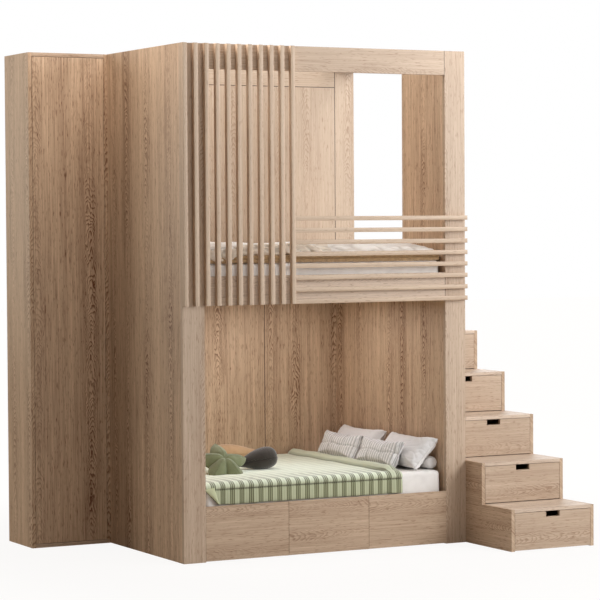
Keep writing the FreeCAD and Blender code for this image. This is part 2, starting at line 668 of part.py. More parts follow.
def green_blanket():
    low = LOWER_MATTRESS_TOP + SOFT_GAP
    high = low + BLANKET_THICKNESS
    inner = FRONT + MATTRESS_FROM_FRONT - SOFT_GAP
    outer = inner - BLANKET_THICKNESS
    hem = BED_DRAWER_FRONT_TOP + BLANKET_DROP_END
    back = INNER_BACK - BLANKET_BACK_GAP
    bend = MATTRESS_EDGE + SOFT_GAP
    reach = bend + BLANKET_THICKNESS
    x0 = INNER_LEFT + SOFT_GAP
    x1 = INNER_RIGHT - BLANKET_FROM_RIGHT
    half = math.sqrt(0.5)

    def at(y, z):
        return FreeCAD.Vector(x0, y, z)

    centre_y = inner + bend
    centre_z = low - bend
    edges = [
        Part.makeLine(at(outer, hem), at(outer, centre_z)),
        curve(at(outer, centre_z), at(centre_y - reach * half, centre_z + reach * half),
              at(centre_y, high)),
        Part.makeLine(at(centre_y, high), at(back, high)),
        Part.makeLine(at(back, high), at(back, low)),
        Part.makeLine(at(back, low), at(centre_y, low)),
        curve(at(centre_y, low), at(centre_y - bend * half, centre_z + bend * half),
              at(inner, centre_z)),
        Part.makeLine(at(inner, centre_z), at(inner, hem)),
        Part.makeLine(at(inner, hem), at(outer, hem)),
    ]
    sheet = Part.Face(Part.Wire(edges)).extrude(FreeCAD.Vector(x1 - x0, 0, 0))
    edge_x = x1 - BORDER_WIDTH
    crest = Part.Wire([
        curve(FreeCAD.Vector(edge_x, centre_y, high),
              FreeCAD.Vector(edge_x + BORDER_WIDTH / 2, centre_y, high + BORDER_HEIGHT),
              FreeCAD.Vector(x1, centre_y, high)),
        Part.makeLine(FreeCAD.Vector(x1, centre_y, high), FreeCAD.Vector(edge_x, centre_y, high)),
    ])
    border = Part.Face(crest).extrude(FreeCAD.Vector(0, back - centre_y, 0))
    save("green_striped_blanket", sheet.fuse(border).removeSplitter())


# Stuffed shapes at the left end of the lower bed.
STAR_POINTS = 5
STAR_RADIUS = 142.0
STAR_WAIST = 86.0
STAR_TIP = 16.0
STAR_THICKNESS = 104.0
STAR_TILT_DEGREES = 38.0
STAR_TURN_DEGREES = 12.0
STAR_FROM_LEFT = 388.0
STAR_FROM_FRONT = 392.0
STAR_ABOVE_BLANKET = 46.0


def star_outline(z, scale):
    """Five blunt points with drawn-in flanks."""
    edges = []
    step = math.pi / STAR_POINTS
    tip_angle = math.atan2(STAR_TIP, STAR_RADIUS)

    def at(radius, angle):
        return FreeCAD.Vector(radius * scale * math.cos(angle), radius * scale * math.sin(angle), z)

    for point in range(STAR_POINTS):
        angle = 2 * step * point
        before = at(STAR_RADIUS - STAR_TIP / 2, angle - tip_angle)
        after = at(STAR_RADIUS - STAR_TIP / 2, angle + tip_angle)
        waist = at(STAR_WAIST, angle + step)
        following = at(STAR_RADIUS - STAR_TIP / 2, angle + 2 * step - tip_angle)
        edges.append(curve(before, at(STAR_RADIUS, angle), after))
        edges.append(Part.makeLine(after, waist))
        edges.append(Part.makeLine(waist, following))
    return Part.Wire(edges)


def star_cushion(level):
    form = crowned(star_outline, STAR_THICKNESS)
    form.rotate(FreeCAD.Vector(0, 0, 0), FreeCAD.Vector(0, 0, 1), STAR_TURN_DEGREES)
    form.rotate(FreeCAD.Vector(0, 0, 0), FreeCAD.Vector(1, 0, 0), STAR_TILT_DEGREES)
    form.translate(FreeCAD.Vector(BED_LEFT + STAR_FROM_LEFT, FRONT + STAR_FROM_FRONT,
                                  level + STAR_ABOVE_BLANKET))
    save("star_cushion", resting(form, level))


DROP_PLACE_SHARES = (0.0, 0.03, 0.12, 0.28, 0.45, 0.62, 0.78, 0.92, 1.0)
DROP_RADIUS_SHARES = (0.30, 0.58, 0.86, 1.0, 0.90, 0.66, 0.42, 0.24, 0.12)
DROP_PRESS = 2.0
GREY_DROP_LENGTH = 228.0
GREY_DROP_RADIUS = 58.0
GREY_DROP_FROM_LEFT = 714.0
GREY_DROP_FROM_FRONT = 455.0
GREY_DROP_TURN_DEGREES = 170.0
GREY_DROP_DROOP_DEGREES = 10.0
TAN_DROP_LENGTH = 330.0
TAN_DROP_RADIUS = 52.0
TAN_DROP_FROM_LEFT = 520.0
TAN_DROP_FROM_FRONT = 800.0
TAN_DROP_TURN_DEGREES = 4.0
TAN_DROP_DROOP_DEGREES = 3.0


def round_section(x, radius):
    """A circle of four arcs, square to the X axis."""
    eighth = math.pi / 4
    points = [FreeCAD.Vector(x, radius * math.cos(k * eighth), radius * math.sin(k * eighth))
              for k in range(9)]
    return Part.Wire([curve(points[k], points[k + 1], points[k + 2]) for k in range(0, 8, 2)])


def teardrop(length, radius, droop, turn, from_left, from_front, level):
    """A stuffed drop lying on its side, round at one end and drawn out to a tip."""
    wires = [round_section(place * length, share * radius)
             for place, share in zip(DROP_PLACE_SHARES, DROP_RADIUS_SHARES)]
    form = Part.makeLoft(wires, True, False)
    form.rotate(FreeCAD.Vector(0, 0, 0), FreeCAD.Vector(0, 1, 0), droop)
    form.rotate(FreeCAD.Vector(0, 0, 0), FreeCAD.Vector(0, 0, 1), turn)
    lowest = form.optimalBoundingBox(False).ZMin
    form.translate(FreeCAD.Vector(BED_LEFT + from_left, FRONT + from_front,
                                  level - DROP_PRESS - lowest))
    return form


def stuffed_shapes():
    level = LOWER_MATTRESS_TOP + 2 * SOFT_GAP + BLANKET_THICKNESS
    star_cushion(level)
    grey = teardrop(GREY_DROP_LENGTH, GREY_DROP_RADIUS, GREY_DROP_DROOP_DEGREES, GREY_DROP_TURN_DEGREES,
                    GREY_DROP_FROM_LEFT, GREY_DROP_FROM_FRONT, level)
    save("grey_teardrop_cushion", resting(grey, level))
    tan = teardrop(TAN_DROP_LENGTH, TAN_DROP_RADIUS, TAN_DROP_DROOP_DEGREES, TAN_DROP_TURN_DEGREES,
                   TAN_DROP_FROM_LEFT, TAN_DROP_FROM_FRONT, level)
    save("tan_teardrop_cushion", resting(tan, level))


# Upper bedding: a folded tan blanket and a rumpled cream duvet over it.
TAN_BLANKET_THICKNESS = 38.0
TAN_BLANKET_SIDE_GAP = 10.0
UPPER_MATTRESS_FROM_FRONT = 28.0
TAN_BLANKET_FROM_FRONT = 26.0
DUVET_FROM_FRONT = 40.0
DUVET_BACK_GAP = 60.0
DUVET_LOW = 30.0
DUVET_SWELL = 26.0
DUVET_FOLDS = 7
DUVET_SECTIONS = 6
DUVET_FOLD_SHARES = (0.75, 1.0, 0.45, 0.9, 0.55, 1.0, 0.35, 0.85, 0.6)


def duvet_section(y, low, shift):
    """Outline across the bed: flat below, a row of soft folds above."""
    x0 = INNER_LEFT + TAN_BLANKET_SIDE_GAP
    x1 = INNER_RIGHT - TAN_BLANKET_SIDE_GAP
    pitch = (x1 - x0) / DUVET_FOLDS
    valley = low + DUVET_LOW
    v = FreeCAD.Vector
    edges = [Part.makeLine(v(x1, y, low), v(x0, y, low)), Part.makeLine(v(x0, y, low), v(x0, y, valley))]
    for fold in range(DUVET_FOLDS):
        start = x0 + fold * pitch
        rise = DUVET_SWELL * DUVET_FOLD_SHARES[(fold + shift) % len(DUVET_FOLD_SHARES)]
        edges.append(curve(v(start, y, valley), v(start + pitch / 2, y, valley + rise),
                           v(start + pitch, y, valley)))
    edges.append(Part.makeLine(v(x1, y, valley), v(x1, y, low)))
    return Part.Wire(edges)


def upper_bedding():
    low = UPPER_MATTRESS_TOP + SOFT_GAP
    high = low + TAN_BLANKET_THICKNESS
    save("tan_blanket",
         block(INNER_LEFT + TAN_BLANKET_SIDE_GAP, INNER_RIGHT - TAN_BLANKET_SIDE_GAP,
               FRONT + TAN_BLANKET_FROM_FRONT, INNER_BACK - MATTRESS_BACK_GAP, low, high))
    y0 = FRONT + DUVET_FROM_FRONT
    y1 = INNER_BACK - DUVET_BACK_GAP
    step = (y1 - y0) / (DUVET_SECTIONS - 1)
    wires = [duvet_section(y0 + index * step, high + SOFT_GAP, 2 * index)
             for index in range(DUVET_SECTIONS)]
    save("cream_duvet", Part.makeLoft(wires, True, True))


def build():
    os.makedirs("parts", exist_ok=True)
    screws = strip_screws()
    dowels = rail_dowels()
    save("strip_screws", *screws)
    save("rail_dowels", *dowels)
    front_frame(screws)
    front_strips(screws, dowels)
    side_walls()
    doorway_lining()
    wall_studs()
    back_wall()
    bed_bases()
    drawer_dividers()
    stair_frame()
    save("drawer_runners", *bed_drawers(), *step_drawers())
    cabinet()
    save("lower_mattress", mattress(LOWER_DECK + SOFT_GAP, FRONT + MATTRESS_FROM_FRONT))
    save("upper_mattress", mattress(UPPER_DECK + SOFT_GAP, FRONT + UPPER_MATTRESS_FROM_FRONT))
    pillows()
    green_blanket()
    stuffed_shapes()
    upper_bedding()


build()
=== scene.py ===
import math

import bmesh
import bpy
import numpy as np
from mathutils import Matrix, Vector, noise
from mathutils.bvhtree import BVHTree


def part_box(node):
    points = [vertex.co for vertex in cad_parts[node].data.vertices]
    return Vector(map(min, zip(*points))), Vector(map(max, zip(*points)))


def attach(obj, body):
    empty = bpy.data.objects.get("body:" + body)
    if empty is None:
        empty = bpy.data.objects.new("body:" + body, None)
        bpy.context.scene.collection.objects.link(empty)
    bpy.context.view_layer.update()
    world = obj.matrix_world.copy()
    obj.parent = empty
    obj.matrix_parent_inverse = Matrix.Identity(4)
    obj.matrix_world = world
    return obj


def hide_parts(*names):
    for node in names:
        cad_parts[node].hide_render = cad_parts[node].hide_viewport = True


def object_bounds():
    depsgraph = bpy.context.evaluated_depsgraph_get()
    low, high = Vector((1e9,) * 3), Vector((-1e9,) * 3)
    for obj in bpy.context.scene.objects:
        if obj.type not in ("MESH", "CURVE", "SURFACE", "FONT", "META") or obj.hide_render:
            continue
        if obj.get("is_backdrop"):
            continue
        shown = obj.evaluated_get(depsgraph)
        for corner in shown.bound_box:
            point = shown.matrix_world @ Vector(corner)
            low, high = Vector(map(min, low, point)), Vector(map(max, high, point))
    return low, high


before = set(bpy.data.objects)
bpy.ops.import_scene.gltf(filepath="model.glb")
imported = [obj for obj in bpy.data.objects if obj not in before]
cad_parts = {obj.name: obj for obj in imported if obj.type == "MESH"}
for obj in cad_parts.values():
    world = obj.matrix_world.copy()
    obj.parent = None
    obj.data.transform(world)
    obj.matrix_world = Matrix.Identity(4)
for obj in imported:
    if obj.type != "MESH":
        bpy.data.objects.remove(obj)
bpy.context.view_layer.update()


# The studio: a pale floor that runs into a white room, the camera where the photographer stood,
# and soft boxes round the bed, most of the light from the right and the front. Each box gives its
# name, place, aim, width, height, watts and colour.
CAMERA_PLACE = Vector((-5.41339, -10.37439, 1.58033))
CAMERA_YAW = math.radians(-27.643)
CAMERA_PITCH = math.radians(1.8945)
CAMERA_ROLL = math.radians(-0.3478)
CAMERA_LENS_MM = 143.68
FLOOR_HALF = 30.0
FLOOR_DARKEST, FLOOR_PALEST = 0.66, 0.71
FLOOR_TINT = (1.0, 0.94, 0.88)
GLOW_STARTS, GLOW_IS_FULL = 1.2, 3.0
GLOW_BESIDE_BED, GLOW_FAR_AWAY = 0.90, 0.985
SOFT_BOXES = (
    ("right_side", (7.0, 0.0, 2.5), (0.0, 0.0, 1.1), 4.0, 4.0, 98, "FFFFFF"),
    ("right_low", (5.5, -5.5, 1.2), (0.0, 0.0, 0.8), 3.0, 2.2, 62, "FCFEFF"),
    ("right_near", (3.0, -3.5, 2.6), (0.2, -0.2, 1.6), 2.0, 2.0, 138, "F9FCFF"),
    ("front_low", (0.5, -7.5, 1.2), (0.0, 0.0, 0.8), 4.0, 2.2, 33, "FFFCF6"),
    ("front_top", (-0.3, -2.6, 3.6), (0.0, -0.3, 1.5), 1.6, 1.2, 24, "FFFFFF"),
    ("back_right", (4.0, 5.0, 3.5), (0.7, 0.5, 1.6), 3.0, 3.0, 132, "FDFEFF"),
    ("back_left", (-4.0, 3.5, 2.4), (-1.0, 0.2, 1.2), 3.0, 3.0, 102, "FFF8EC"),
    ("cabinet_top", (-1.42, -0.28, 3.30), (-1.0, 0.3, 1.9), 0.9, 0.6, 20, "FFF5EC"),
    ("over_stairs", (1.30, -0.5, 3.0), (0.95, -0.1, 0.8), 0.8, 0.8, 16, "FFFFFF"),
    ("over_upper_bed", (-0.60, -0.10, 2.70), (0.7, 0.05, 1.55), 0.7, 0.5, 6.0, "FFFFFF"),
    ("under_platform", (-0.1, 0.15, 1.17), (-0.1, 0.15, 0.0), 1.1, 0.8, 5.6, "F6F9FF"),
)


def linear(hex_colour):
    """An sRGB hex colour as linear RGBA."""
    parts = [int(hex_colour[i:i + 2], 16) / 255 for i in (0, 2, 4)]
    return [p / 12.92 if p <= 0.04045 else ((p + 0.055) / 1.055) ** 2.4 for p in parts] + [1.0]


def add(tree, kind, links=(), **settings):
    """Adds one node with its settings; kind may leave out the name of the tree's own family, and
    links gives each input a value, a hex colour, an output, or a node whose first output in use
    it takes."""
    made = tree.nodes.new(kind if "Node" in kind else tree.bl_idname.replace("Tree", kind))
    for name, value in settings.items():
        setattr(made, name, value)
    for key, value in dict(links).items():
        if isinstance(value, bpy.types.Node):
            value = next(socket for socket in value.outputs if socket.enabled)
        if isinstance(value, str):
            value = linear(value)
        if isinstance(value, bpy.types.NodeSocket):
            tree.links.new(value, made.inputs[key])
        else:
            made.inputs[key].default_value = value
    return made


def worked(tree, value, *steps):
    """Arithmetic from left to right: steps are operations, each with its number."""
    for how, number in zip(steps[::2], steps[1::2]):
        value = add(tree, "Math", {0: value, 1: number}, operation=how)
    return value


def surface(name):
    """A new material: the material, its empty tree and the place on the piece."""
    made = bpy.data.materials.new(name)
    made.use_nodes = True
    made.node_tree.nodes.clear()
    place = add(made.node_tree, "TexCoord").outputs["Object"]
    return made, made.node_tree, place


def linked(name, data):
    """A new object in the scene."""
    made = bpy.data.objects.new(name, data)
    bpy.context.scene.collection.objects.link(made)
    return made


def skin(verts, faces, edges=()):
    """A new mesh of these points and faces."""
    mesh = bpy.data.meshes.new("skin")
    mesh.from_pydata(verts, edges, faces)
    return mesh


def place_camera():
    """The camera, turned by yaw, pitch and roll about the place of its lens."""
    turn = (Matrix.Rotation(CAMERA_YAW, 3, "Z")
            @ Matrix.Rotation(math.radians(90) - CAMERA_PITCH, 3, "X")
            @ Matrix.Rotation(CAMERA_ROLL, 3, "Z"))
    camera = linked("camera", bpy.data.cameras.new("camera"))
    camera.data.lens = CAMERA_LENS_MM
    camera.data.sensor_width = 36.0
    camera.data.clip_end = 100.0
    camera.matrix_world = Matrix.Translation(CAMERA_PLACE) @ turn.to_4x4()
    bpy.context.scene.camera = camera


def soft_box(name, place, target, width, height, watts, colour):
    """A lamp as a lit rectangle, which the camera doesn't see."""
    lamp = bpy.data.lights.new(name, "AREA")
    lamp.shape = "RECTANGLE"
    lamp.size = width
    lamp.size_y = height
    lamp.energy = watts
    lamp.color = linear(colour)[:3]
    stand = linked(name, lamp)
    stand.location = place
    stand.rotation_euler = (Vector(target) - Vector(place)).to_track_quat("-Z", "Y").to_euler()
    stand.visible_camera = False


def white_room():
    """White wherever the camera looks past the bed."""
    world = bpy.data.worlds.new("white_room")
    world.use_nodes = True
    bpy.context.scene.world = world
    tree = world.node_tree
    tree.nodes.clear()
    seen = add(tree, "Background", {"Color": (1, 1, 1, 1), "Strength": 1.0})
    fill = add(tree, "Background", {"Color": "FFF1E0", "Strength": 0.008})
    path = add(tree, "LightPath").outputs["Is Camera Ray"]
    both = add(tree, "MixShader", {0: path, 1: fill, 2: seen})
    add(tree, "OutputWorld", {"Surface": both})
    bpy.context.scene.view_settings.view_transform = "Standard"


def pale_floor():
    """A floor that looks nearly as white as the room and keeps a soft shadow round the bed."""
    paint, tree, place = surface("matt_pale_floor_paint")
    grain = add(tree, "TexNoise", {"Vector": place, "Scale": 9.0})
    tone = add(tree, "MapRange", {"Value": grain, "To Min": FLOOR_DARKEST, "To Max": FLOOR_PALEST})
    warm = add(tree, "VectorMath", {0: tone, 1: FLOOR_TINT}, operation="MULTIPLY")
    shader = add(tree, "BsdfPrincipled", {"Base Color": warm, "Roughness": 0.75})
    glow = add(tree, "Emission", {"Color": "FFFEFD", "Strength": 1.02})
    away = add(tree, "VectorMath", {0: place}, operation="LENGTH")
    lit = add(tree, "MapRange", {
        "Value": away, "From Min": GLOW_STARTS, "From Max": GLOW_IS_FULL,
        "To Min": GLOW_BESIDE_BED, "To Max": GLOW_FAR_AWAY}, interpolation_type="SMOOTHSTEP")
    path = add(tree, "LightPath").outputs["Is Camera Ray"]
    both = add(tree, "MixShader", {0: worked(tree, path, "MULTIPLY", lit), 1: shader, 2: glow})
    add(tree, "OutputMaterial", {"Surface": both})
    half = FLOOR_HALF
    floor = linked("floor", skin([(-half, -half, 0), (half, -half, 0), (half, half, 0),
                                  (-half, half, 0)], [(0, 1, 2, 3)]))
    floor.data.materials.append(paint)
    floor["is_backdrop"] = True


place_camera()
for box in SOFT_BOXES:
    soft_box(*box)
white_room()
pale_floor()


# Studs, ledgers, drawer cleats and dowels: planed spruce, glued and screwed inside the hollow
# walls. Soft pale wood with straight yearly rings, so fine amber lines about 4 mm apart.
RING_SPACING = 0.004
# The length of one wave, in metres, in a wave texture of scale 1.
ONE_WAVE = 0.314


def shaded(tree, colour, roughness, height, strength, distance, **rest):
    """Ends a material: its shader with a colour, and fine relief made from a height."""
    relief = add(tree, "Bump", {"Height": height, "Strength": strength, "Distance": distance})
    shader = add(tree, "BsdfPrincipled", {
        "Base Color": colour, "Roughness": roughness, "Normal": relief, **rest})
    add(tree, "OutputMaterial", {"Surface": shader})


def sawn(name, grain, pale, dark, ring, roughness=0.62):
    """Plain timber: yearly rings as soft lines along the grain, and a few darker flecks."""
    made, tree, place = surface(name)
    stretched = add(tree, "Mapping", {
        "Vector": place, "Scale": [1 / 0.30 if axis == grain else 1 / 0.030 for axis in "XYZ"]})
    drift = add(tree, "TexNoise", {"Vector": stretched, "Scale": 1.0, "Detail": 2.0})
    long = add(tree, "Mapping", {
        "Vector": place, "Scale": [0.04 if axis == grain else 1.0 for axis in "XYZ"]})
    rings = add(tree, "TexWave", {
        "Vector": long, "Scale": ONE_WAVE / ring, "Distortion": 5.0, "Detail": 1.5,
        "Detail Scale": 0.4}, wave_type="BANDS", bands_direction="DIAGONAL").outputs["Fac"]
    depth = add(tree, "Math", {0: rings, 1: 0.5, 2: drift}, operation="MULTIPLY_ADD")
    tone = add(tree, "MapRange", {"Value": depth, "From Min": 0.35, "From Max": 1.0})
    colour = add(tree, "Mix", {"Factor": tone, 6: pale, 7: dark}, data_type="RGBA")
    shaded(tree, colour, roughness, rings, 0.15, 0.0004)
    return made


def finish(name, material):
    """Gives a piece of the construction its own finish."""
    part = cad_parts[name]
    part.data.materials.clear()
    part.data.materials.append(material)


for name, grain in (("wall_studs", "Z"), ("bed_ledgers", "X"), ("drawer_dividers", "Y"),
                    ("drawer_runners", "Y"), ("rail_dowels", "X")):
    finish(name, sawn("planed_spruce_" + name, grain, "E2CFAE", "C4A47C", RING_SPACING))


# Oak veneer, a thin sheet sliced from the log and pressed on every board: nested arches of grain
# down the middle of each leaf, fine straight streaks beside them and short dark pores, under a
# matt lacquer. Arches, pores and the joints of boards are drawn wider than real, so they show.
LEAF_WIDTH = 0.215
ARCH_SPACING = 0.034
ARCH_NARROWNESS = 3200.0
STREAK_SIZE = (0.0045, 0.30)
FIBRE_SIZE = (0.0040, 0.090)
BAND_SIZE = (0.040, 1.5)
PORE_SIZE = (0.0035, 0.038)
JOINT_HALF_WIDTH = 0.0020
MEAN_DARK = 0.30
HEADER_BOTTOM = 2.280
HEART_LEAF = {"arches": 0.62, "pale": "D8BA9B"}
QUIET_LEAF = {"arches": 0.46, "pale": "CEB9A2"}


def veneer_figure():
    """Node group: the figure of the veneer, from the place across and along the grain."""
    tree = bpy.data.node_groups.new("veneer_figure", "ShaderNodeTree")
    for name in ("Across", "Along", "Shift", "Arches"):
        tree.interface.new_socket(name, in_out="INPUT", socket_type="NodeSocketFloat")
    for name in ("Dark", "Relief"):
        tree.interface.new_socket(name, in_out="OUTPUT", socket_type="NodeSocketFloat")
    given = add(tree, "NodeGroupInput").outputs
    across, along, shift = (given[name] for name in ("Across", "Along", "Shift"))

    def mottle(width, length, detail, seed):
        place = add(tree, "CombineXYZ", {
            "X": worked(tree, across, "DIVIDE", width), "Y": worked(tree, along, "DIVIDE", length),
            "Z": worked(tree, shift, "ADD", seed)})
        return add(tree, "TexNoise", {
            "Vector": place, "Scale": 1.0, "Detail": detail, "Roughness": 0.55})

    leaves = worked(tree, across, "ADD", worked(tree, shift, "MULTIPLY", 0.37),
                    "DIVIDE", LEAF_WIDTH)
    chance = add(tree, "TexWhiteNoise", {
        "W": worked(tree, leaves, "FLOOR", 0.0, "ADD", shift)}, noise_dimensions="1D")
    leaf = add(tree, "SeparateColor", {"Color": chance.outputs["Color"]}).outputs
    heart = worked(tree, leaf["Red"], "SUBTRACT", 0.5, "MULTIPLY", 0.45)
    offset = worked(tree, leaves, "FRACT", 0.0, "SUBTRACT", 0.5, "SUBTRACT", heart,
                    "MULTIPLY", LEAF_WIDTH)
    climb = worked(tree, along, "ADD", worked(tree, leaf["Green"], "MULTIPLY", 3.0),
                   "DIVIDE", ARCH_SPACING)
    slow, quick = mottle(0.085, 0.42, 1.0, 3.1), mottle(0.026, 0.075, 2.0, 7.7)
    rings = worked(tree, offset, "MULTIPLY", offset, "MULTIPLY", ARCH_NARROWNESS, "ADD", climb,
                   "ADD", worked(tree, slow, "MULTIPLY", 9.0),
                   "ADD", worked(tree, quick, "MULTIPLY", 3.4))
    edge = add(tree, "ValToRGB", {"Fac": worked(tree, rings, "FRACT", 0.0)})
    edge.color_ramp.elements[0].position = 0.42
    edge.color_ramp.elements[1].position = 0.86
    edge.color_ramp.elements.new(1.0).color = (0, 0, 0, 1)
    edge.color_ramp.elements[1].color = (1, 1, 1, 1)
    middle, patches, pores = (
        add(tree, "MapRange", {
            "Value": value, "From Min": low, "From Max": high, "To Min": first, "To Max": last},
            interpolation_type="SMOOTHSTEP")
        for value, low, high, first, last in (
            (worked(tree, offset, "ABSOLUTE", 0.0), 0.018, 0.066, 1.0, 0.0),
            (mottle(0.14, 0.50, 0.0, 29.3), 0.36, 0.60, 0.32, 1.0),
            (mottle(*PORE_SIZE, 1.0, 23.1), 0.60, 0.72, 0.0, 1.0)))
    arches = worked(tree, edge, "MULTIPLY", middle, "MULTIPLY", patches, "MULTIPLY",
                    given["Arches"])
    streaks = mottle(*STREAK_SIZE, 2.0, 11.3)
    fibres = mottle(*FIBRE_SIZE, 1.0, 41.9)
    bands = mottle(*BAND_SIZE, 1.0, 17.9)
    dark = worked(tree, streaks, "SUBTRACT", 0.5, "MULTIPLY", 0.92)
    for share in (worked(tree, fibres, "SUBTRACT", 0.5, "MULTIPLY", 0.30),
                  worked(tree, bands, "SUBTRACT", 0.5, "MULTIPLY", 0.42), arches,
                  worked(tree, pores, "MULTIPLY", 0.42),
                  worked(tree, leaf["Blue"], "SUBTRACT", 0.5, "MULTIPLY", 0.07), MEAN_DARK):
        dark = worked(tree, dark, "ADD", share)
    relief = worked(tree, streaks, "MULTIPLY", 0.5, "SUBTRACT", pores)
    add(tree, "NodeGroupOutput", {"Dark": dark, "Relief": relief})
    return tree


VENEER = veneer_figure()


def oak(name, grain, shift, joints=(), level_above=None, arches=0.46, pale="D2BAA2",
        dark="8A684C", contrast=1.0):
    """Veneered oak with its grain along one axis; shift picks another stretch of the log, and
    joints are the places, axis and metres, where two boards meet in a fine dark line. Above
    level_above the board is a level one, with its grain along the bed. A contrast over 1 is a
    leaf cut nearer the heart, with a stronger figure round the same mean colour."""
    made, tree, place = surface(name)
    spot = add(tree, "SeparateXYZ", {"Vector": place}).outputs
    others = [axis for axis in "XYZ" if axis != grain]
    across = worked(tree, spot[others[0]], "ADD", spot[others[1]])
    along = spot[grain]
    if level_above:
        level = worked(tree, spot["Z"], "GREATER_THAN", level_above)
        across = add(tree, "Mix", {0: level, 2: across, 3: spot["Z"]})
        along = add(tree, "Mix", {0: level, 2: along, 3: spot["X"]})
    figure = add(tree, "Group", {
        "Across": across, "Along": along, "Shift": shift, "Arches": arches}, node_tree=VENEER)
    colour = add(tree, "ValToRGB", {"Fac": figure.outputs["Dark"]})
    ends = (linear(pale), linear(dark))
    middle = [p + MEAN_DARK * (d - p) for p, d in zip(*ends)]
    for element, end in zip(colour.color_ramp.elements, ends):
        element.color = [max(m + contrast * (e - m), 0.0) for m, e in zip(middle, end)]
    for axis, joint in joints:
        gap = add(tree, "Math", {0: spot[axis], 1: joint, 2: JOINT_HALF_WIDTH},
                  operation="COMPARE")
        colour = add(tree, "Mix", {"Factor": gap, 6: colour, 7: "4A382A"}, data_type="RGBA")
    shaded(tree, colour, 0.52, figure.outputs["Relief"], 0.12, 0.0006)
    return made


def veneered(name, grain, shift, joints=(), level_above=None, **leaf):
    """Gives a piece a veneer of its own."""
    finish(name, oak("oak_veneer_" + name, grain, shift, joints, level_above, **leaf))


veneered("left_wall_panels", "Z", 1.3, contrast=1.45, **HEART_LEAF)
veneered("right_wall_outer_panel", "Z", 2.9, contrast=1.2, **QUIET_LEAF)
veneered("right_wall_inner_panel", "Z", 4.4, contrast=1.45, **HEART_LEAF)
veneered("back_posts", "Z", 5.8, contrast=0.8, **QUIET_LEAF)
veneered("lower_back_lining", "Z", 7.1, (("X", 0.195),), contrast=1.42, **HEART_LEAF)
veneered("upper_back_lining", "Z", 8.6, (("Z", HEADER_BOTTOM), ("X", 0.618)), HEADER_BOTTOM,
         contrast=0.75, **QUIET_LEAF)
veneered("back_outer_panel", "Z", 9.9, contrast=1.2, **QUIET_LEAF)


# The front frame and the doorway: veneered boards with an oak lipping, glued flush into one
# plane. The posts' grain runs up, and the grain of the rails, the platform and its ceiling runs
# along the bed.
POST_JOINTS = (("X", -0.6772), ("X", 0.6192))
BRIGHT_OAK = "E5D0BB"
veneered("front_posts", "Z", 11.2, contrast=0.9)
veneered("front_top_rail", "X", 21.3, POST_JOINTS, contrast=0.75)
veneered("platform_front_board", "X", 22.7, POST_JOINTS, contrast=0.75, pale=BRIGHT_OAK)
veneered("platform_ceiling_panel", "X", 25.5, contrast=0.75)
veneered("doorway_lining", "X", 27.2, contrast=0.75)


# The upright slats, the guard rails and the slats under the mattresses: planed strips with
# eased edges, one length repeated at an even pitch. The front strips are solid oak, screwed from
# behind, and the base slats are spruce laid across the ledgers.
STRIP_PITCH = 0.0558
STRIP_WIDTH = 0.021
STRIP_EASE = 0.0012
SLAT_COUNT = 11
RAIL_COUNT = 8
BASE_SLAT_COUNT = 12
BASE_SLAT_WIDTH, BASE_SLAT_DEPTH, BASE_SLAT_EASE = 0.070, 0.018, 0.003
BASE_HEIGHTS = (0.231, 1.256)
PLAIN_OAK = {"arches": 0.14, "pale": "D4BCA3", "dark": "A3846A"}


def growing_tree(name, **inputs):
    """A Geometry Nodes tree that takes a geometry, these inputs and a finish."""
    tree = bpy.data.node_groups.new(name, "GeometryNodeTree")
    for label, kind in {"Geometry": "Geometry", **inputs, "Finish": "Material"}.items():
        tree.interface.new_socket(label, in_out="INPUT", socket_type="NodeSocket" + kind)
    tree.interface.new_socket("Geometry", in_out="OUTPUT", socket_type="NodeSocketGeometry")
    return tree, add(tree, "NodeGroupInput").outputs


def finished_tree(tree, given, shape):
    """Ends a Geometry Nodes tree: every copy made real and given its finish."""
    real = add(tree, "RealizeInstances", {0: shape})
    finished = add(tree, "SetMaterial", {"Geometry": real, "Material": given["Finish"]})
    add(tree, "NodeGroupOutput", {0: finished})
    return tree


def strips_tree():
    """Geometry Nodes: strips of one size with eased edges, repeated along a line."""
    tree, given = growing_tree("eased_strips", Count="Int", Start="Vector", Step="Vector",
                               Width="Float", Depth="Float", Length="Float", Ease="Float",
                               Turn="Vector")
    outline = add(tree, "CurvePrimitiveQuadrilateral", {
        "Width": given["Width"], "Height": given["Depth"]})
    eased = add(tree, "FilletCurve", {
        "Curve": outline, "Count": 2, "Radius": given["Ease"]}, mode="POLY")
    reach = add(tree, "ShaderNodeCombineXYZ", {"Z": given["Length"]})
    run = add(tree, "CurvePrimitiveLine", {"End": reach})
    strip = add(tree, "CurveToMesh", {"Curve": run, "Profile Curve": eased, "Fill Caps": True})
    places = add(tree, "MeshLine", {
        "Count": given["Count"], "Start Location": given["Start"], "Offset": given["Step"]},
        mode="OFFSET")
    turn = add(tree, "FunctionNodeEulerToRotation", {0: given["Turn"]})
    return finished_tree(tree, given, add(tree, "InstanceOnPoints", {
        "Points": places, "Instance": strip, "Rotation": turn}))


def as_mesh(piece):
    """The mesh of a piece as its modifiers leave it."""
    shown = piece.evaluated_get(bpy.context.evaluated_depsgraph_get())
    return bpy.data.meshes.new_from_object(shown)


def outward(mesh):
    """Merges doubled points and turns every face outwards."""
    work = bmesh.new()
    work.from_mesh(mesh)
    bmesh.ops.remove_doubles(work, verts=work.verts, dist=1e-6)
    bmesh.ops.recalc_face_normals(work, faces=work.faces)
    work.to_mesh(mesh)
    work.free()


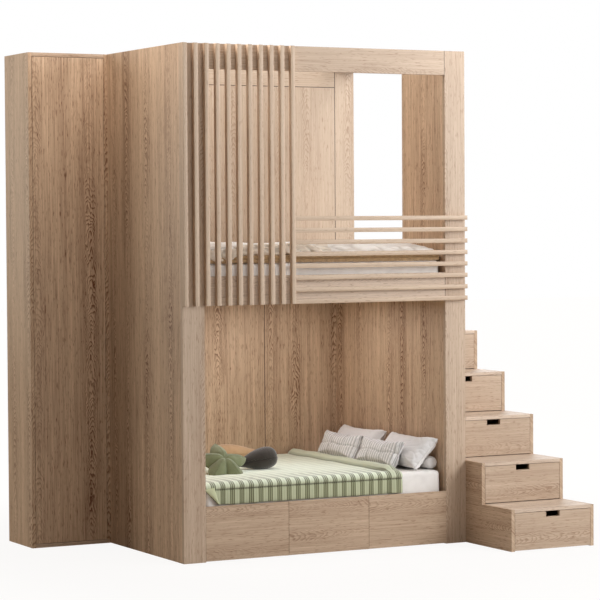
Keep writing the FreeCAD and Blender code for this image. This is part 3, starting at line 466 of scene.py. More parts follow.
def grown(name, slot, tree, base=None, **values):
    """Runs a Geometry Nodes tree with these inputs and keeps the result as a piece."""
    seed = linked(name + "_seed", base or skin([], []))
    modifier = seed.modifiers.new("tree", "NODES")
    modifier.node_group = tree
    for item in tree.interface.items_tree:
        if item.in_out == "INPUT" and item.name in values:
            modifier[item.identifier] = values[item.name]
    seed.update_tag()
    mesh = as_mesh(seed)
    bpy.data.objects.remove(seed)
    outward(mesh)
    made = linked(name, mesh)
    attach(made, "frame")
    return made


STRIPS = strips_tree()
for node, slot, count, side, length, turn, finished in (
        ("vertical_slats", "oak_veneer_upright", SLAT_COUNT, Vector((1, 0, 0)), Vector((0, 0, 1)),
         (0.0, 0.0, 0.0), oak("solid_oak_upright_slats", "Z", 16.9, **PLAIN_OAK)),
        ("guard_rails", "oak_veneer_level", RAIL_COUNT, Vector((0, 0, 1)), Vector((1, 0, 0)),
         (0.0, math.pi / 2, 0.0), oak("solid_oak_guard_rails", "X", 24.1, **PLAIN_OAK))):
    low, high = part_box(node)
    middle = Vector((low.x, (low.y + high.y) / 2, low.z))
    strips = grown(node + "_eased", slot, STRIPS, Count=count,
                   Start=middle + side * (STRIP_WIDTH / 2), Step=side * STRIP_PITCH,
                   Width=STRIP_WIDTH, Depth=high.y - low.y, Length=(high - low).dot(length),
                   Ease=STRIP_EASE, Turn=turn, Finish=finished)
    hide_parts(node)
low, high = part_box("bed_base_slats")
spruce = sawn("planed_spruce_base_slats", "Y", "E4CFA9", "C49F70", RING_SPACING)
bases = [
    grown("base_slats_at_%d" % (height * 1000), "spruce_timber", STRIPS, Count=BASE_SLAT_COUNT,
          Start=(low.x + BASE_SLAT_WIDTH / 2, low.y, height),
          Step=((high.x - low.x - BASE_SLAT_WIDTH) / (BASE_SLAT_COUNT - 1), 0.0, 0.0),
          Width=BASE_SLAT_WIDTH, Depth=BASE_SLAT_DEPTH, Length=high.y - low.y,
          Ease=BASE_SLAT_EASE, Turn=(-math.pi / 2, 0.0, 0.0), Finish=spruce)
    for height in BASE_HEIGHTS]
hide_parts("bed_base_slats")


# Screws and hinge pins: zinc-plated steel, turned and plated bright. A cool grey with a faint
# blue cast, and fine marks left by the turning.
def zinc(name):
    """Zinc plating: two greys in a fine grain."""
    made, tree, place = surface(name)
    marks = add(tree, "TexNoise", {"Vector": place, "Scale": 900.0, "Detail": 2.0})
    tone = add(tree, "Mix", {"Factor": marks, 6: "B9BEC4", 7: "8F959C"}, data_type="RGBA")
    shaded(tree, tone, 0.34, marks, 0.1, 0.0002, Metallic=1.0)
    return made


for name in ("strip_screws", "door_pivot_pins"):
    finish(name, zinc("zinc_plated_steel_" + name))


# Drawers of the lower bed: veneered fronts over boxes of 12 mm birch plywood. Birch is pale and
# close-grained, so faint wide ripples and hardly any lines.
def birch_box(name, kind):
    """Gives a drawer box its plywood, with the grain from front to back."""
    finish(name, sawn("birch_plywood_" + kind, "Y", "E8D3AF", "D2B68B", 0.011, 0.5))


for place, shift in (("left", 36.1), ("middle", 37.8), ("right", 39.2)):
    veneered("bed_drawer_front_" + place, "X", shift, pale="D1B69B")
    birch_box("bed_drawer_box_" + place, "bed_box_" + place)


# The staircase: veneered sides with the grain along the flight, treads and drawer fronts with
# the grain across it, and a drawer of birch plywood in every step but the last.
veneered("stair_sides", "Y", 50.3, contrast=1.15, pale="D3B89C")
veneered("stair_treads", "X", 28.8, contrast=0.85, pale=BRIGHT_OAK)
veneered("stair_back", "X", 30.1, contrast=0.85)
veneered("stair_top_riser", "X", 31.7, contrast=0.85)
for step, shift in enumerate((40.7, 42.3, 43.9, 45.1, 46.6), 1):
    veneered("step_drawer_front_%d" % step, "X", shift, contrast=0.85)
    birch_box("step_drawer_box_%d" % step, "step_box_%d" % step)


# The tall cabinet at the back left: a plain carcass of veneered boards with shelves and one door
# that lies inside its edges.
veneered("cabinet_sides", "Z", 12.7, contrast=1.2, **HEART_LEAF)
veneered("cabinet_door", "Z", 14.3, contrast=1.45, **HEART_LEAF)
veneered("cabinet_back", "Z", 15.5, contrast=1.2, **HEART_LEAF)
veneered("cabinet_top_and_bottom", "X", 33.3)
veneered("cabinet_shelves", "X", 34.9)


# The two mattresses: foam blocks in fitted sheets of white cotton percale, pulled tight over the
# top and tucked under, so the cloth lies flat above and ripples softly down the sides.
MATTRESS_ROUND = 0.022
# How far painted shade darkens a striped cloth's ground on its drop and on its folded border.
DROP_PAINTED_SHADE, BORDER_PAINTED_SHADE = 0.58, 0.36


def striped(tree, flat, colour, dark, stripes, painted_shade_and_sheen):
    """Lines woven into a cloth. With painted shade and sheen, the cloth is pale where it lies, its
    lines fade towards the back as a painted sheen, and its ground is darker on its drop and on the
    border that is folded back at one end, as painted shade."""
    pitch, line_colour, stops, strength = stripes
    spot = add(tree, "SeparateXYZ", {"Vector": flat}).outputs
    ramp = add(tree, "ValToRGB", {"Fac": worked(tree, spot["X"], "DIVIDE", pitch, "FRACT", 0.0)})
    for element in ramp.color_ramp.elements:
        element.color = (0, 0, 0, 1)
    for place, level in stops:
        ramp.color_ramp.elements.new(place).color = (level, level, level, 1)
    amount = worked(tree, ramp, "MULTIPLY", strength)
    if painted_shade_and_sheen:
        edge, back, least, border = painted_shade_and_sheen
        # Painted sheen: the lines fade towards the back. Painted shade: the ground darkens on the
        # drop and on the folded border.
        painted_sheen_fade, drop, folded = (
            add(tree, "MapRange", {
                "Value": spot[axis], "From Min": first, "From Max": last, "To Min": before,
                "To Max": after})
            for axis, first, last, before, after in (
                ("Y", edge, back, 1.0, least), ("Y", edge * 0.9, edge * 1.4, DROP_PAINTED_SHADE, 0.0),
                ("X", border - 0.006, border, 0.0, BORDER_PAINTED_SHADE)))
        amount = worked(tree, amount, "MULTIPLY", painted_sheen_fade)
        colour = add(tree, "Mix", {
            "Factor": worked(tree, drop, "MAXIMUM", folded), 6: colour, 7: dark},
            data_type="RGBA")
    return add(tree, "Mix", {"Factor": amount, 6: colour, 7: line_colour}, data_type="RGBA")


def cloth(name, pale, dark, thread, stripes=None, fuzz=0.3, relief=0.0004, mottle=0.5,
          cloud=0.035, roughness=0.9, seam=None, painted_shade_and_sheen=None):
    """A woven cloth: crossing threads, a cloudy tone, darker seams with painted shade in its creases,
    folds and under a welt, and stripes. Threads are drawn about three times their real width, so
    that they show."""
    made, tree, place = surface(name)
    flat = add(tree, "Attribute", attribute_name="flat").outputs["Vector"]
    warp, weft = (
        add(tree, "TexWave", {
            "Vector": flat, "Scale": ONE_WAVE / thread, "Distortion": 0.6, "Detail": 1.0},
            bands_direction=axis).outputs["Fac"]
        for axis in "XY")
    weave = worked(tree, warp, "MAXIMUM", weft)
    clouds = add(tree, "TexNoise", {"Vector": place, "Scale": 1 / cloud, "Detail": 4.0})
    tone = add(tree, "MapRange", {
        "Value": clouds, "From Min": 0.25, "From Max": 0.75, "To Min": 0.0, "To Max": mottle})
    shade = add(tree, "Math", {0: weave, 1: -0.12, 2: tone},
                operation="MULTIPLY_ADD", use_clamp=True)
    colour = add(tree, "Mix", {"Factor": shade, 6: pale, 7: dark}, data_type="RGBA")
    if stripes:
        colour = striped(tree, flat, colour, dark, stripes, painted_shade_and_sheen)
    # A mark stored on the mesh darkens the cloth towards the seam colour: real seams, and painted
    # shade in creases, folds and under a welt.
    seams_and_painted_shade = add(tree, "Attribute", attribute_name="seams_and_painted_shade").outputs["Fac"]
    colour = add(tree, "Mix", {"Factor": seams_and_painted_shade, 6: colour, 7: seam or dark}, data_type="RGBA")
    shaded(tree, colour, roughness, weave, 0.4, relief, **{
        "Sheen Weight": fuzz, "Sheen Roughness": 0.5, "Specular IOR Level": 0.2})
    return made


def as_rows(values, key):
    """Three numbers for each of a mesh's points, as rows."""
    found = np.empty(len(values) * 3, np.float32)
    values.foreach_get(key, found)
    return found.reshape(-1, 3).astype(float)


def points_of(mesh):
    """Every point of a mesh."""
    return as_rows(mesh.vertices, "co")


def normals_of(mesh):
    """The way out of a mesh at every point."""
    return as_rows(mesh.vertex_normals, "vector")


def move_to(mesh, points):
    """Puts every point of a mesh in its new place."""
    mesh.vertices.foreach_set("co", points.astype(np.float32).ravel())
    mesh.update()


def soft_noise(points, scale, seed):
    """Smooth noise from -1 to 1 at each point; scale is the size of a swell on each axis."""
    return np.array([noise.noise(Vector(p)) for p in points / np.array(scale, float) + seed])


def creases(points, scale, seed):
    """Sharp folds: 1 along winding lines, falling to 0 between them."""
    return (1 - np.minimum(1, np.abs(soft_noise(points, scale, seed)) * 3.2)) ** 2


def bell(distance, width):
    """A smooth bump: 1 at no distance, falling to 0 past its width."""
    return np.exp(-(distance / width) ** 2)


def push_out(mesh, amount):
    """Moves every point of a mesh along the way out of it."""
    move_to(mesh, points_of(mesh) + normals_of(mesh) * amount[:, None])


def fixed(mesh, name, values):
    """Keeps one number or one place for each point of the mesh, for its material."""
    values = np.asarray(values, np.float32)
    kind, key = ("FLOAT_VECTOR", "vector") if values.ndim == 2 else ("FLOAT", "value")
    mesh.attributes.new(name, kind, "POINT").data.foreach_set(key, values.ravel())


def soft_piece(name, mesh, material):
    """A soft piece of the bed: smooth faces, its cloth and its body."""
    for polygon in mesh.polygons:
        polygon.use_smooth = True
    mesh.materials.clear()
    mesh.materials.append(material)
    made = linked(name, mesh)
    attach(made, "frame")
    return made


def filled_piece(name, mesh, material, node):
    """A soft piece with a filling, in place of the solid of the construction."""
    made = soft_piece(name, mesh, material)
    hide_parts(node)
    return made


def box_shell(*steps):
    """The skin of a box as a fine grid, shared along its edges, from the steps on each axis."""
    number, faces = {}, []
    for axis in range(3):
        one, two = (axis + 1) % 3, (axis + 2) % 3
        for end in (0, len(steps[axis]) - 1):
            for i in range(len(steps[one]) - 1):
                for j in range(len(steps[two]) - 1):
                    face = []
                    for spot in ((i, j), (i + 1, j), (i + 1, j + 1), (i, j + 1)):
                        place = [end, end, end]
                        place[one], place[two] = spot
                        face.append(number.setdefault(tuple(place), len(number)))
                    faces.append(face)
    mesh = skin([[steps[axis][k] for axis, k in enumerate(place)] for place in number], faces)
    outward(mesh)
    return mesh


def fine_steps(low, high, step, edge):
    """Even steps with closer ones near both ends."""
    near = [0.0, 0.15, 0.35, 0.6, 0.8, 1.0]
    count = max(2, int((high - low - 2 * edge) / step) + 1)
    return ([low + edge * share for share in near[:-1]]
            + list(np.linspace(low + edge, high - edge, count))
            + [high - edge * share for share in near[-2::-1]])


def soft_block(low, high, steps, edge, bottom):
    """A box with rounded edges: its mesh, its points before and after the rounding."""
    mesh = box_shell(*(fine_steps(low[axis], high[axis], steps[axis], edge) for axis in range(3)))
    flat = points_of(mesh)
    inset = np.array([edge, edge, 0.0])
    core_low, core_high = np.array(low) + inset, np.array(high) - inset
    core_low[2] += bottom
    core_high[2] -= edge
    core = np.clip(flat, core_low, core_high)
    away = flat - core
    reach = np.where(away[:, 2] > 0, edge, bottom)
    away[:, 2] *= edge / reach
    length = np.linalg.norm(away, axis=1, keepdims=True)
    away = np.where(length > 0, away / np.maximum(length, 1e-9) * edge, 0.0)
    away[:, 2] *= reach / edge
    move_to(mesh, core + away)
    return mesh, flat, core + away


percale = cloth("white_cotton_percale", "F6F1EC", "E2DBD4", 0.0022, mottle=0.35, fuzz=0.15)
for name, seed, ripple in (("lower_mattress", 3.7, 0.0018), ("upper_mattress", 8.2, 0.0042)):
    low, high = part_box(name)
    mesh, flat, points = soft_block(low, high, (0.012, 0.014, 0.008), MATTRESS_ROUND, 0.006)
    normals = normals_of(mesh)
    side = np.clip(1 - np.abs(normals[:, 2]) * 1.2, 0, 1)
    swell = soft_noise(points, (0.32, 0.32, 0.32), seed) * 0.0012 * np.abs(normals[:, 2])
    hang = soft_noise(points, (0.045, 0.045, 0.30), seed + 5) * ripple * side
    tuck = creases(points, (0.10, 0.10, 0.20), seed + 9) * ripple * 0.8 * side
    move_to(mesh, points + normals * (swell + hang - tuck - ripple * 0.4 * side)[:, None])
    fixed(mesh, "flat", flat)
    filled_piece(name + "_in_sheet", mesh, percale, name)


# White pillows: washed cotton cases over down, closed by a plain seam that is piped round the
# edge. Two lean on the right wall and lie flat where they touch the mattress.
PILLOW_SIZE = (0.450, 0.215, 0.080)
PILLOW_LEAN = math.radians(-47.0)
PILLOW_PLACES = (("white_pillow_front", (0.530, -0.131, 0.4403), 2.1),
                 ("white_pillow_back", (0.530, 0.373, 0.4403), 6.4))
FRAME_STEPS = 20
CORD_RADIUS = 0.0022
THREAD = 0.0006


def drawn_in(width, height, dip, count=26):
    """The seam of a cushion: four sides drawn in between pointed corners."""
    half_w, half_h = width / 2, height / 2
    steps = [2 * k / count - 1 for k in range(count)]
    bow_w, bow_h = dip * width, dip * height * 1.4
    half = ([(half_w * s, bow_w * (1 - s * s) - half_h) for s in steps]
            + [(half_w - bow_h * (1 - s * s), half_h * s) for s in steps])
    return half + [(-x, -y) for x, y in half]


def stuffed(outline, thickness, power=2.6, root=0.5, rings=16):
    """A closed form: rings shrink from the seam to a crown on each side."""
    count = len(outline)
    verts = [(x, y, 0.0) for x, y in outline]
    faces = []
    for side in (1, -1):
        before = 0
        for k in range(1, rings):
            share = 1 - k / rings
            level = side * thickness / 2 * (1 - share ** power) ** root
            start = len(verts)
            verts.extend((x * share, y * share, level) for x, y in outline)
            for i in range(count):
                j = (i + 1) % count
                faces.append((before + i, before + j, start + j, start + i)[::side])
            before = start
        verts.append((0.0, 0.0, side * thickness / 2))
        for i in range(count):
            faces.append((before + i, before + (i + 1) % count, len(verts) - 1)[::side])
    return skin(verts, faces)


def swollen(mesh, voxel, cap, pressure=4.0):
    """Fills a sewn form: even cloth all round, blown up by its filling, no point far from home."""
    pad = linked("pad", mesh)
    even = pad.modifiers.new("even", "REMESH")
    even.mode = "VOXEL"
    even.voxel_size = voxel
    pad.data = as_mesh(pad)
    pad.modifiers.remove(even)
    home = points_of(pad.data)
    filling = pad.modifiers.new("filling", "CLOTH")
    filling.settings.quality = 5
    filling.settings.mass = 0.15
    filling.settings.use_pressure = True
    filling.settings.uniform_pressure_force = pressure
    filling.settings.effector_weights.gravity = 0.0
    for frame_number in range(1, FRAME_STEPS + 1):
        bpy.context.scene.frame_set(frame_number)
    moved = points_of(as_mesh(pad)) - home
    length = np.linalg.norm(moved, axis=1, keepdims=True)
    moved *= np.minimum(1.0, cap / np.maximum(length, 1e-9))
    pad.modifiers.remove(filling)
    bpy.context.scene.frame_set(1)
    move_to(pad.data, home + moved)
    finer = pad.modifiers.new("finer", "SUBSURF")
    finer.levels = finer.render_levels = 1
    result = as_mesh(pad)
    bpy.data.objects.remove(pad)
    return result


def leaning(angle):
    """The turn of a cushion that leans on the right wall."""
    return Matrix.Rotation(angle, 3, "Y") @ Matrix.Rotation(math.radians(90), 3, "Z")


def laid_down(mesh, place, turn, level):
    """Keeps the flat form for the weave, turns the piece to its place and rests it on a level."""
    flat = points_of(mesh)
    fixed(mesh, "flat", flat)
    turned = flat @ np.array(turn).T + np.array(place)
    under = turned[:, 2] < level
    turned[under, 2] = level + (turned[under, 2] - level) * 0.02
    move_to(mesh, turned)


def lines_on(mesh, lines, place, turn, lift, closed=False):
    """Lays lines of the flat form a little above the finished cloth, for a tree to follow."""
    tree = BVHTree.FromPolygons([v.co for v in mesh.vertices], [p.vertices for p in mesh.polygons])
    verts, edges = [], []
    for line in lines:
        start = len(verts)
        for point in line:
            near, normal, _, _ = tree.find_nearest(turn @ Vector(point) + Vector(place))
            verts.append(near + normal * lift)
        edges.extend((k, k + 1) for k in range(start, len(verts) - 1))
        if closed:
            edges.append((len(verts) - 1, start))
    return skin(verts, [], edges)


def piping_tree():
    """Geometry Nodes: a thin covered cord that follows the lines of a seam."""
    tree, given = growing_tree("piping", Radius="Float")
    seam = add(tree, "MeshToCurve", {0: given["Geometry"]})
    even = add(tree, "ResampleCurve", {"Curve": seam, "Length": 0.006}, mode="LENGTH")
    outline = add(tree, "CurvePrimitiveCircle", {"Resolution": 6, "Radius": given["Radius"]})
    return finished_tree(tree, given, add(tree, "CurveToMesh", {
        "Curve": even, "Profile Curve": outline, "Fill Caps": True}))


def stitch_tree():
    """Geometry Nodes: a row of stitches along the lines of a seam."""
    tree, given = growing_tree("stitches", Pitch="Float", Length="Float", Thread="Float")
    seam = add(tree, "MeshToCurve", {0: given["Geometry"]})
    even = add(tree, "ResampleCurve", {"Curve": seam, "Length": given["Pitch"]}, mode="LENGTH")
    thread = add(tree, "MeshCylinder", {
        "Vertices": 6, "Radius": given["Thread"], "Depth": given["Length"]})
    run = add(tree, "InputTangent")
    turn = add(tree, "FunctionNodeAlignRotationToVector", {"Vector": run}, axis="Z")
    return finished_tree(tree, given, add(tree, "InstanceOnPoints", {
        "Points": even, "Instance": thread, "Rotation": turn}))


PIPING = piping_tree()
STITCHES = stitch_tree()
mattress_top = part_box("lower_mattress")[1].z
on_bed = mattress_top + 0.0005
pillow_case = cloth("white_washed_cotton", "F0EDEB", "E5E1DE", 0.0022, mottle=0.4, fuzz=0.25,
                    seam="A79E95")
width, height, thickness = PILLOW_SIZE
seam = drawn_in(width, height, 0.020)
turn = leaning(PILLOW_LEAN)
for name, place, seed in PILLOW_PLACES:
    mesh = swollen(stuffed([(x * 0.985, y * 0.97) for x, y in seam], thickness * 0.88, 3.2),
                   0.006, 0.009)
    points = points_of(mesh)
    corner = np.abs(points[:, 0]) / (width / 2) * np.abs(points[:, 1]) / (height / 2)
    fold = creases(points, (0.10, 0.035, 0.06), seed) * (0.0012 + 0.0035 * np.clip(corner, 0, 1))
    billow = soft_noise(points, (0.12, 0.09, 0.09), seed + 4) * 0.003
    push_out(mesh, billow - fold)
    laid_down(mesh, place, turn, on_bed)
    filled_piece(name + "_in_case", mesh, pillow_case, name)
    edge = lines_on(mesh, [[(x, y, 0.0) for x, y in seam]], place, turn, 0.0006, closed=True)
    grown(name + "_piping", "white_cotton", PIPING, base=edge, Radius=CORD_RADIUS, Finish=pillow_case)


# The white bolster behind the pillows: a roll of wadding in a plain cotton tube, which is
# gathered and sewn shut at its ends.
END_PROFILE = ((0.0, 0.05), (0.001, 0.35), (0.003, 0.68), (0.008, 0.86), (0.016, 0.96), (0.028, 1.0))
ROUND_COUNT = 40


def between(rows, count, closed=False):
    """The faces between rows of points; closed joins the ends of each row and caps the form."""
    faces = []
    for row in range(rows - 1):
        for k in range(count if closed else count - 1):
            a, b = row * count + k, row * count + (k + 1) % count
            faces.append((a, a + count, b + count, b))
    if closed:
        last = (rows - 1) * count
        faces += [tuple(range(count)), tuple(range(last, last + count))]
    return faces


low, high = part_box("white_bolster")
radius = (high.x - low.x) / 2
length = high.y - low.y
stations = (list(END_PROFILE) + [(y, 1.0) for y in np.linspace(0.05, length - 0.05, 70)]
            + [(length - y, share) for y, share in reversed(END_PROFILE)])
verts = []
for y, share in stations:
    for k in range(ROUND_COUNT):
        angle = 2 * math.pi * k / ROUND_COUNT
        reach = radius * share * (1 + 0.03 * math.sin(angle * 11) * (1 - share))
        verts.append((reach * math.cos(angle), y, reach * math.sin(angle)))
mesh = skin(verts, between(len(stations), ROUND_COUNT, closed=True))
outward(mesh)
mesh = swollen(mesh, 0.006, 0.003)
points = points_of(mesh)
dents = creases(points, (0.03, 0.16, 0.03), 9.1) * 0.0014
swell = soft_noise(points, (0.05, 0.12, 0.05), 4.4) * 0.002
push_out(mesh, swell - dents)
laid_down(mesh, ((low.x + high.x) / 2, low.y, low.z + radius), Matrix.Identity(3), low.z)
filled_piece("white_bolster_in_case", mesh, pillow_case, "white_bolster")


# Two small quilted cushions of brushed grey cotton: thin wadding sewn through in one line along
# and two across, with fine grey stripes woven in pairs.
CUSHION_SIZE = (0.405, 0.160, 0.058)
CUSHION_LEAN = math.radians(-66.0)
CUSHION_PLACES = (("quilted_cushion_front", (0.4335, -0.053, 0.4303), 1.6),
                  ("quilted_cushion_back", (0.4335, 0.355, 0.4303), 5.2))
QUILT_LINES = (-0.17, 0.17)
QUILT_DEPTH = 0.0026
grey_quilt = cloth("brushed_grey_cotton", "F6F4F3", "D2CDCA", 0.0026, mottle=0.35,
                   seam="9E9692", stripes=(0.0215, "7F7B7A", (
                       (0.08, 0.0), (0.13, 1.0), (0.30, 1.0), (0.36, 0.2),
                       (0.42, 0.2), (0.47, 0.8), (0.56, 0.8), (0.62, 0.0)), 0.58))
width, height, thickness = CUSHION_SIZE
seam = drawn_in(width, height, 0.018)
turn = leaning(CUSHION_LEAN)
for name, place, seed in CUSHION_PLACES:
    mesh = swollen(stuffed([(x * 0.985, y * 0.96) for x, y in seam], thickness * 0.86, 3.0),
                   0.005, 0.007)
    points = points_of(mesh)
    inside = np.clip(1.15 - np.maximum(np.abs(points[:, 0]) / (width / 2),
                                       np.abs(points[:, 1]) / (height / 2)), 0, 1)
    gap = np.abs(points[:, 1] + 0.004 * np.sin(points[:, 0] * 30))
    for share in QUILT_LINES:
        gap = np.minimum(gap, np.abs(points[:, 0] - share * width + 0.05 * points[:, 1]))
    drawn = bell(gap, 0.0055) * np.clip(inside * 4, 0, 1)
    tucks = creases(points, (0.055, 0.030, 0.05), seed) * bell(gap, 0.022) * 0.0028
    puff = soft_noise(points, (0.07, 0.05, 0.05), seed + 3) * 0.0022
    push_out(mesh, puff - tucks - drawn * QUILT_DEPTH)
    fixed(mesh, "seams_and_painted_shade", drawn * 0.2)
    laid_down(mesh, place, turn, on_bed)
    filled_piece(name + "_in_cover", mesh, grey_quilt, name)
    rows = [[(x, 0.0, thickness) for x in np.linspace(-0.46 * width, 0.46 * width, 40)]]
    rows += [[(share * width, y, thickness)
              for y in np.linspace(-0.44 * height, 0.44 * height, 18)] for share in QUILT_LINES]
    grown(name + "_stitches", "quilted_grey_cotton", STITCHES,
          base=lines_on(mesh, rows, place, turn, 0.0003), Pitch=0.007, Length=0.0045,
          Thread=THREAD, Finish=grey_quilt)


# The green blanket: one quilted sheet of brushed cotton, woven with bunches of dark green lines,
# laid over the mattress with a drop down the front. A welt is sewn along the top front edge, the
# right end is folded back into a thick border, and the front left corner is turned up.
BLANKET_HALF = 0.0034
BLANKET_HEM = 0.2615
BLANKET_BEND = 0.0223
BORDER_WIDTH, BORDER_HEIGHT = 0.074, 0.026
CORNER_CUT = 0.072
CORNER_STEPS = 15
DROP_STEPS, BEND_STEPS, TOP_STEPS, WIDTH_STEPS = 20, 10, 150, 260
PRESSED_FROM, PRESSED_TO, PRESSED_LIFT = -0.675, 0.075, 0.0026


def thickened(mesh, thickness):
    """A cloth of real thickness, half of it on each side of a mesh."""
    work = linked("cloth", mesh)
    thick = work.modifiers.new("thick", "SOLIDIFY")
    thick.thickness = thickness
    thick.offset = 0.0
    made = as_mesh(work)
    bpy.data.objects.remove(work)
    outward(made)
    return made


low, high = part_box("green_striped_blanket")
border_from = high.x - BORDER_WIDTH
# Its ground is darkened by painted shade on the drop and the border, and its lines fade towards the
# back as a painted sheen.
sage_cloth = cloth("striped_green_cotton", "EEF6DF", "8F8C50", 0.003, mottle=0.10, fuzz=0.5,
                   cloud=0.09, seam="3E3B28", painted_shade_and_sheen=(0.075, 0.34, 0.20, border_from),
                   stripes=(0.0495, "4E4C22", (
                       (0.06, 0.0), (0.08, 1.0), (0.16, 1.0), (0.18, 0.42), (0.26, 0.42),
                       (0.28, 1.0), (0.36, 1.0), (0.38, 0.42), (0.46, 0.42), (0.48, 1.0),
                       (0.56, 1.0), (0.58, 0.0), (0.78, 0.0), (0.80, 0.20), (0.84, 0.20),
                       (0.86, 0.0)), 0.86))
inner_y = low.y + 2 * BLANKET_HALF + 0.0002
bend_y, bend_z = inner_y + BLANKET_BEND, on_bed - BLANKET_BEND
reach = BLANKET_BEND + BLANKET_HALF
# The cloth's path from the hem over the front edge to the back: y and z, and the way out of it.
path = [(inner_y - BLANKET_HALF, z, -1.0, 0.0)
        for z in np.linspace(BLANKET_HEM, bend_z, DROP_STEPS)]
path += [(bend_y - reach * math.cos(angle), bend_z + reach * math.sin(angle), -math.cos(angle),
          math.sin(angle)) for angle in np.linspace(0, math.pi / 2, BEND_STEPS)[1:]]
path += [(y, bend_z + reach, 0.0, 1.0) for y in np.linspace(bend_y, high.y - 0.004, TOP_STEPS)[1:]]
run = [0.0]
for before, after in zip(path, path[1:]):
    run.append(run[-1] + math.dist(after[:2], before[:2]))
drop_ends, half_bent, bend_ends = run[DROP_STEPS - 1], run[DROP_STEPS + 4], run[DROP_STEPS + 8]
welt_at = drop_ends - 0.004
columns = np.linspace(low.x + 0.003, high.x - 0.003, WIDTH_STEPS)
verts, flats, outs = [], [], []
for x in columns:
    cut = np.clip(1 - (x - columns[0]) / CORNER_CUT, 0, 1) * (bend_z - BLANKET_HEM)
    for (y, z, out_y, out_z), along in zip(path, run):
        if z < bend_z:
            share = (z - BLANKET_HEM) / (bend_z - BLANKET_HEM)
            z = BLANKET_HEM + cut + share * (bend_z - BLANKET_HEM - cut)
        verts.append((x, y, z))
        flats.append((x, along, 0.0))
        outs.append((0.0, out_y, out_z))
mesh = skin(verts, between(WIDTH_STEPS, len(path)))
points, flat, out = points_of(mesh), np.array(flats), np.array(outs)
on_top = np.clip((flat[:, 1] - bend_ends) / 0.03, 0, 1)
hanging = 1 - np.clip(flat[:, 1] / half_bent, 0, 1)
into_border = np.clip((points[:, 0] - border_from) / (BORDER_WIDTH - 0.003), 0, 1)
border = np.sin(np.pi * into_border) ** 0.7 * (0.25 + 0.75 * on_top) * BORDER_HEIGHT
border *= 1 + 0.12 * soft_noise(flat, (0.5, 0.06, 1.0), 2.2)
border_line = bell(points[:, 0] - border_from, 0.004) * on_top
past_welt = flat[:, 1] - welt_at
welt = bell(past_welt, 0.0042)
ridge = bell(past_welt - 0.013, 0.008) * 0.0030
gather = soft_noise(flat, (0.011, 0.05, 1.0), 7.3) * bell(past_welt, 0.018) * 0.0016
billow = soft_noise(flat, (0.11, 0.16, 1.0), 5.1) * 0.0022 * on_top
rumple = creases(flat, (0.30, 0.22, 1.0), 12.4) * 0.0030 * on_top * (1 - into_border)
wave = (soft_noise(flat, (0.055, 0.30, 1.0), 3.3) * 0.0030
        + soft_noise(flat, (0.16, 0.30, 1.0), 9.9) * 0.0020) * hanging
lift = (border + billow + rumple + wave + ridge + gather - welt * 0.0045 - border_line * 0.003
        + 0.0012)
# Under the stuffed shapes the cloth lies pressed flat.
pressed = (points[:, 0] > PRESSED_FROM) & (points[:, 0] < PRESSED_TO) & (on_top > 0.9)
lift = np.where(pressed, np.minimum(lift, PRESSED_LIFT), lift)
points += out * lift[:, None]
hem = np.clip(1 - flat[:, 1] / 0.02, 0, 1)
points[:, 2] += hem * soft_noise(flat, (0.09, 1.0, 1.0), 4.6) * 0.0025
move_to(mesh, points)
fixed(mesh, "flat", flat)
# Painted shade: the dark line at the welt stands for the shadow under its raised cord, and the line
# at the border for the shade in its fold; both take the seam colour of the striped cloth.
fixed(mesh, "seams_and_painted_shade", np.clip(welt * 0.95 + border_line * 0.7, 0, 1))
blanket = soft_piece("green_striped_blanket_laid", thickened(mesh, 2 * BLANKET_HALF - 0.0014),
                     sage_cloth)
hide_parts("green_striped_blanket")
# The turned-up corner shows the plain back of the cloth.
sage_back = cloth("plain_back_of_green_cotton", "C9CCA6", "9CA27A", 0.003, mottle=0.4, fuzz=0.4)
left = columns[0] + 0.001
tip = Vector((left + CORNER_CUT, 0, BLANKET_HEM + 0.004))
top_left, top_right = Vector((left, 0, bend_z)), Vector((left + 0.050, 0, bend_z + 0.006))
verts = []
for across in np.arange(CORNER_STEPS) / (CORNER_STEPS - 1):
    bulge = 0.0050 * math.sin(math.pi * min(1, across + 0.05)) ** 0.6
    for up in np.arange(CORNER_STEPS) / (CORNER_STEPS - 1):
        spot = tip.lerp(top_left.lerp(top_right, across), up)
        puff = bulge * math.sin(math.pi * up) ** 0.4
        verts.append((spot.x, inner_y - 2 * BLANKET_HALF - 0.0022 - puff, spot.z))
mesh = skin(verts, between(CORNER_STEPS, CORNER_STEPS))
fixed(mesh, "flat", verts)
corner = soft_piece("green_blanket_turned_corner", thickened(mesh, 0.004), sage_back)


# Stuffed shapes on the blanket: a five-pointed star sewn from ten panels of light green cotton,
# and two drops, one of grey cotton velvet and one of tan cotton, each sewn from two halves.
STAR_POINTS, STAR_RADIUS, STAR_WAIST, STAR_THICKNESS = 5, 0.150, 0.086, 0.104
STAR_STEPS = 12
STAR_PLACE = (-0.402, 0.011, 0.4109)
STAR_TURN = Matrix.Rotation(math.radians(38), 3, "X") @ Matrix.Rotation(math.radians(12), 3, "Z")
DROP_SHARES = ((0.0, 0.10), (0.008, 0.34), (0.03, 0.58), (0.07, 0.76), (0.12, 0.88), (0.20, 0.97),
               (0.28, 1.0), (0.36, 0.97), (0.45, 0.90), (0.54, 0.79), (0.62, 0.66), (0.70, 0.54),
               (0.78, 0.42), (0.86, 0.31), (0.92, 0.24), (0.97, 0.17), (1.0, 0.08))
blanket_top = 0.3649
outline = []
for point in range(STAR_POINTS):
    for first, last, turned in ((STAR_RADIUS, STAR_WAIST, 0), (STAR_WAIST, STAR_RADIUS, 1)):
        for k in range(STAR_STEPS):
            share = k / STAR_STEPS
            radius = first * (1 - share) + last * share
            angle = (2 * point + turned + share) * math.pi / STAR_POINTS
            outline.append((radius * math.cos(angle), radius * math.sin(angle)))
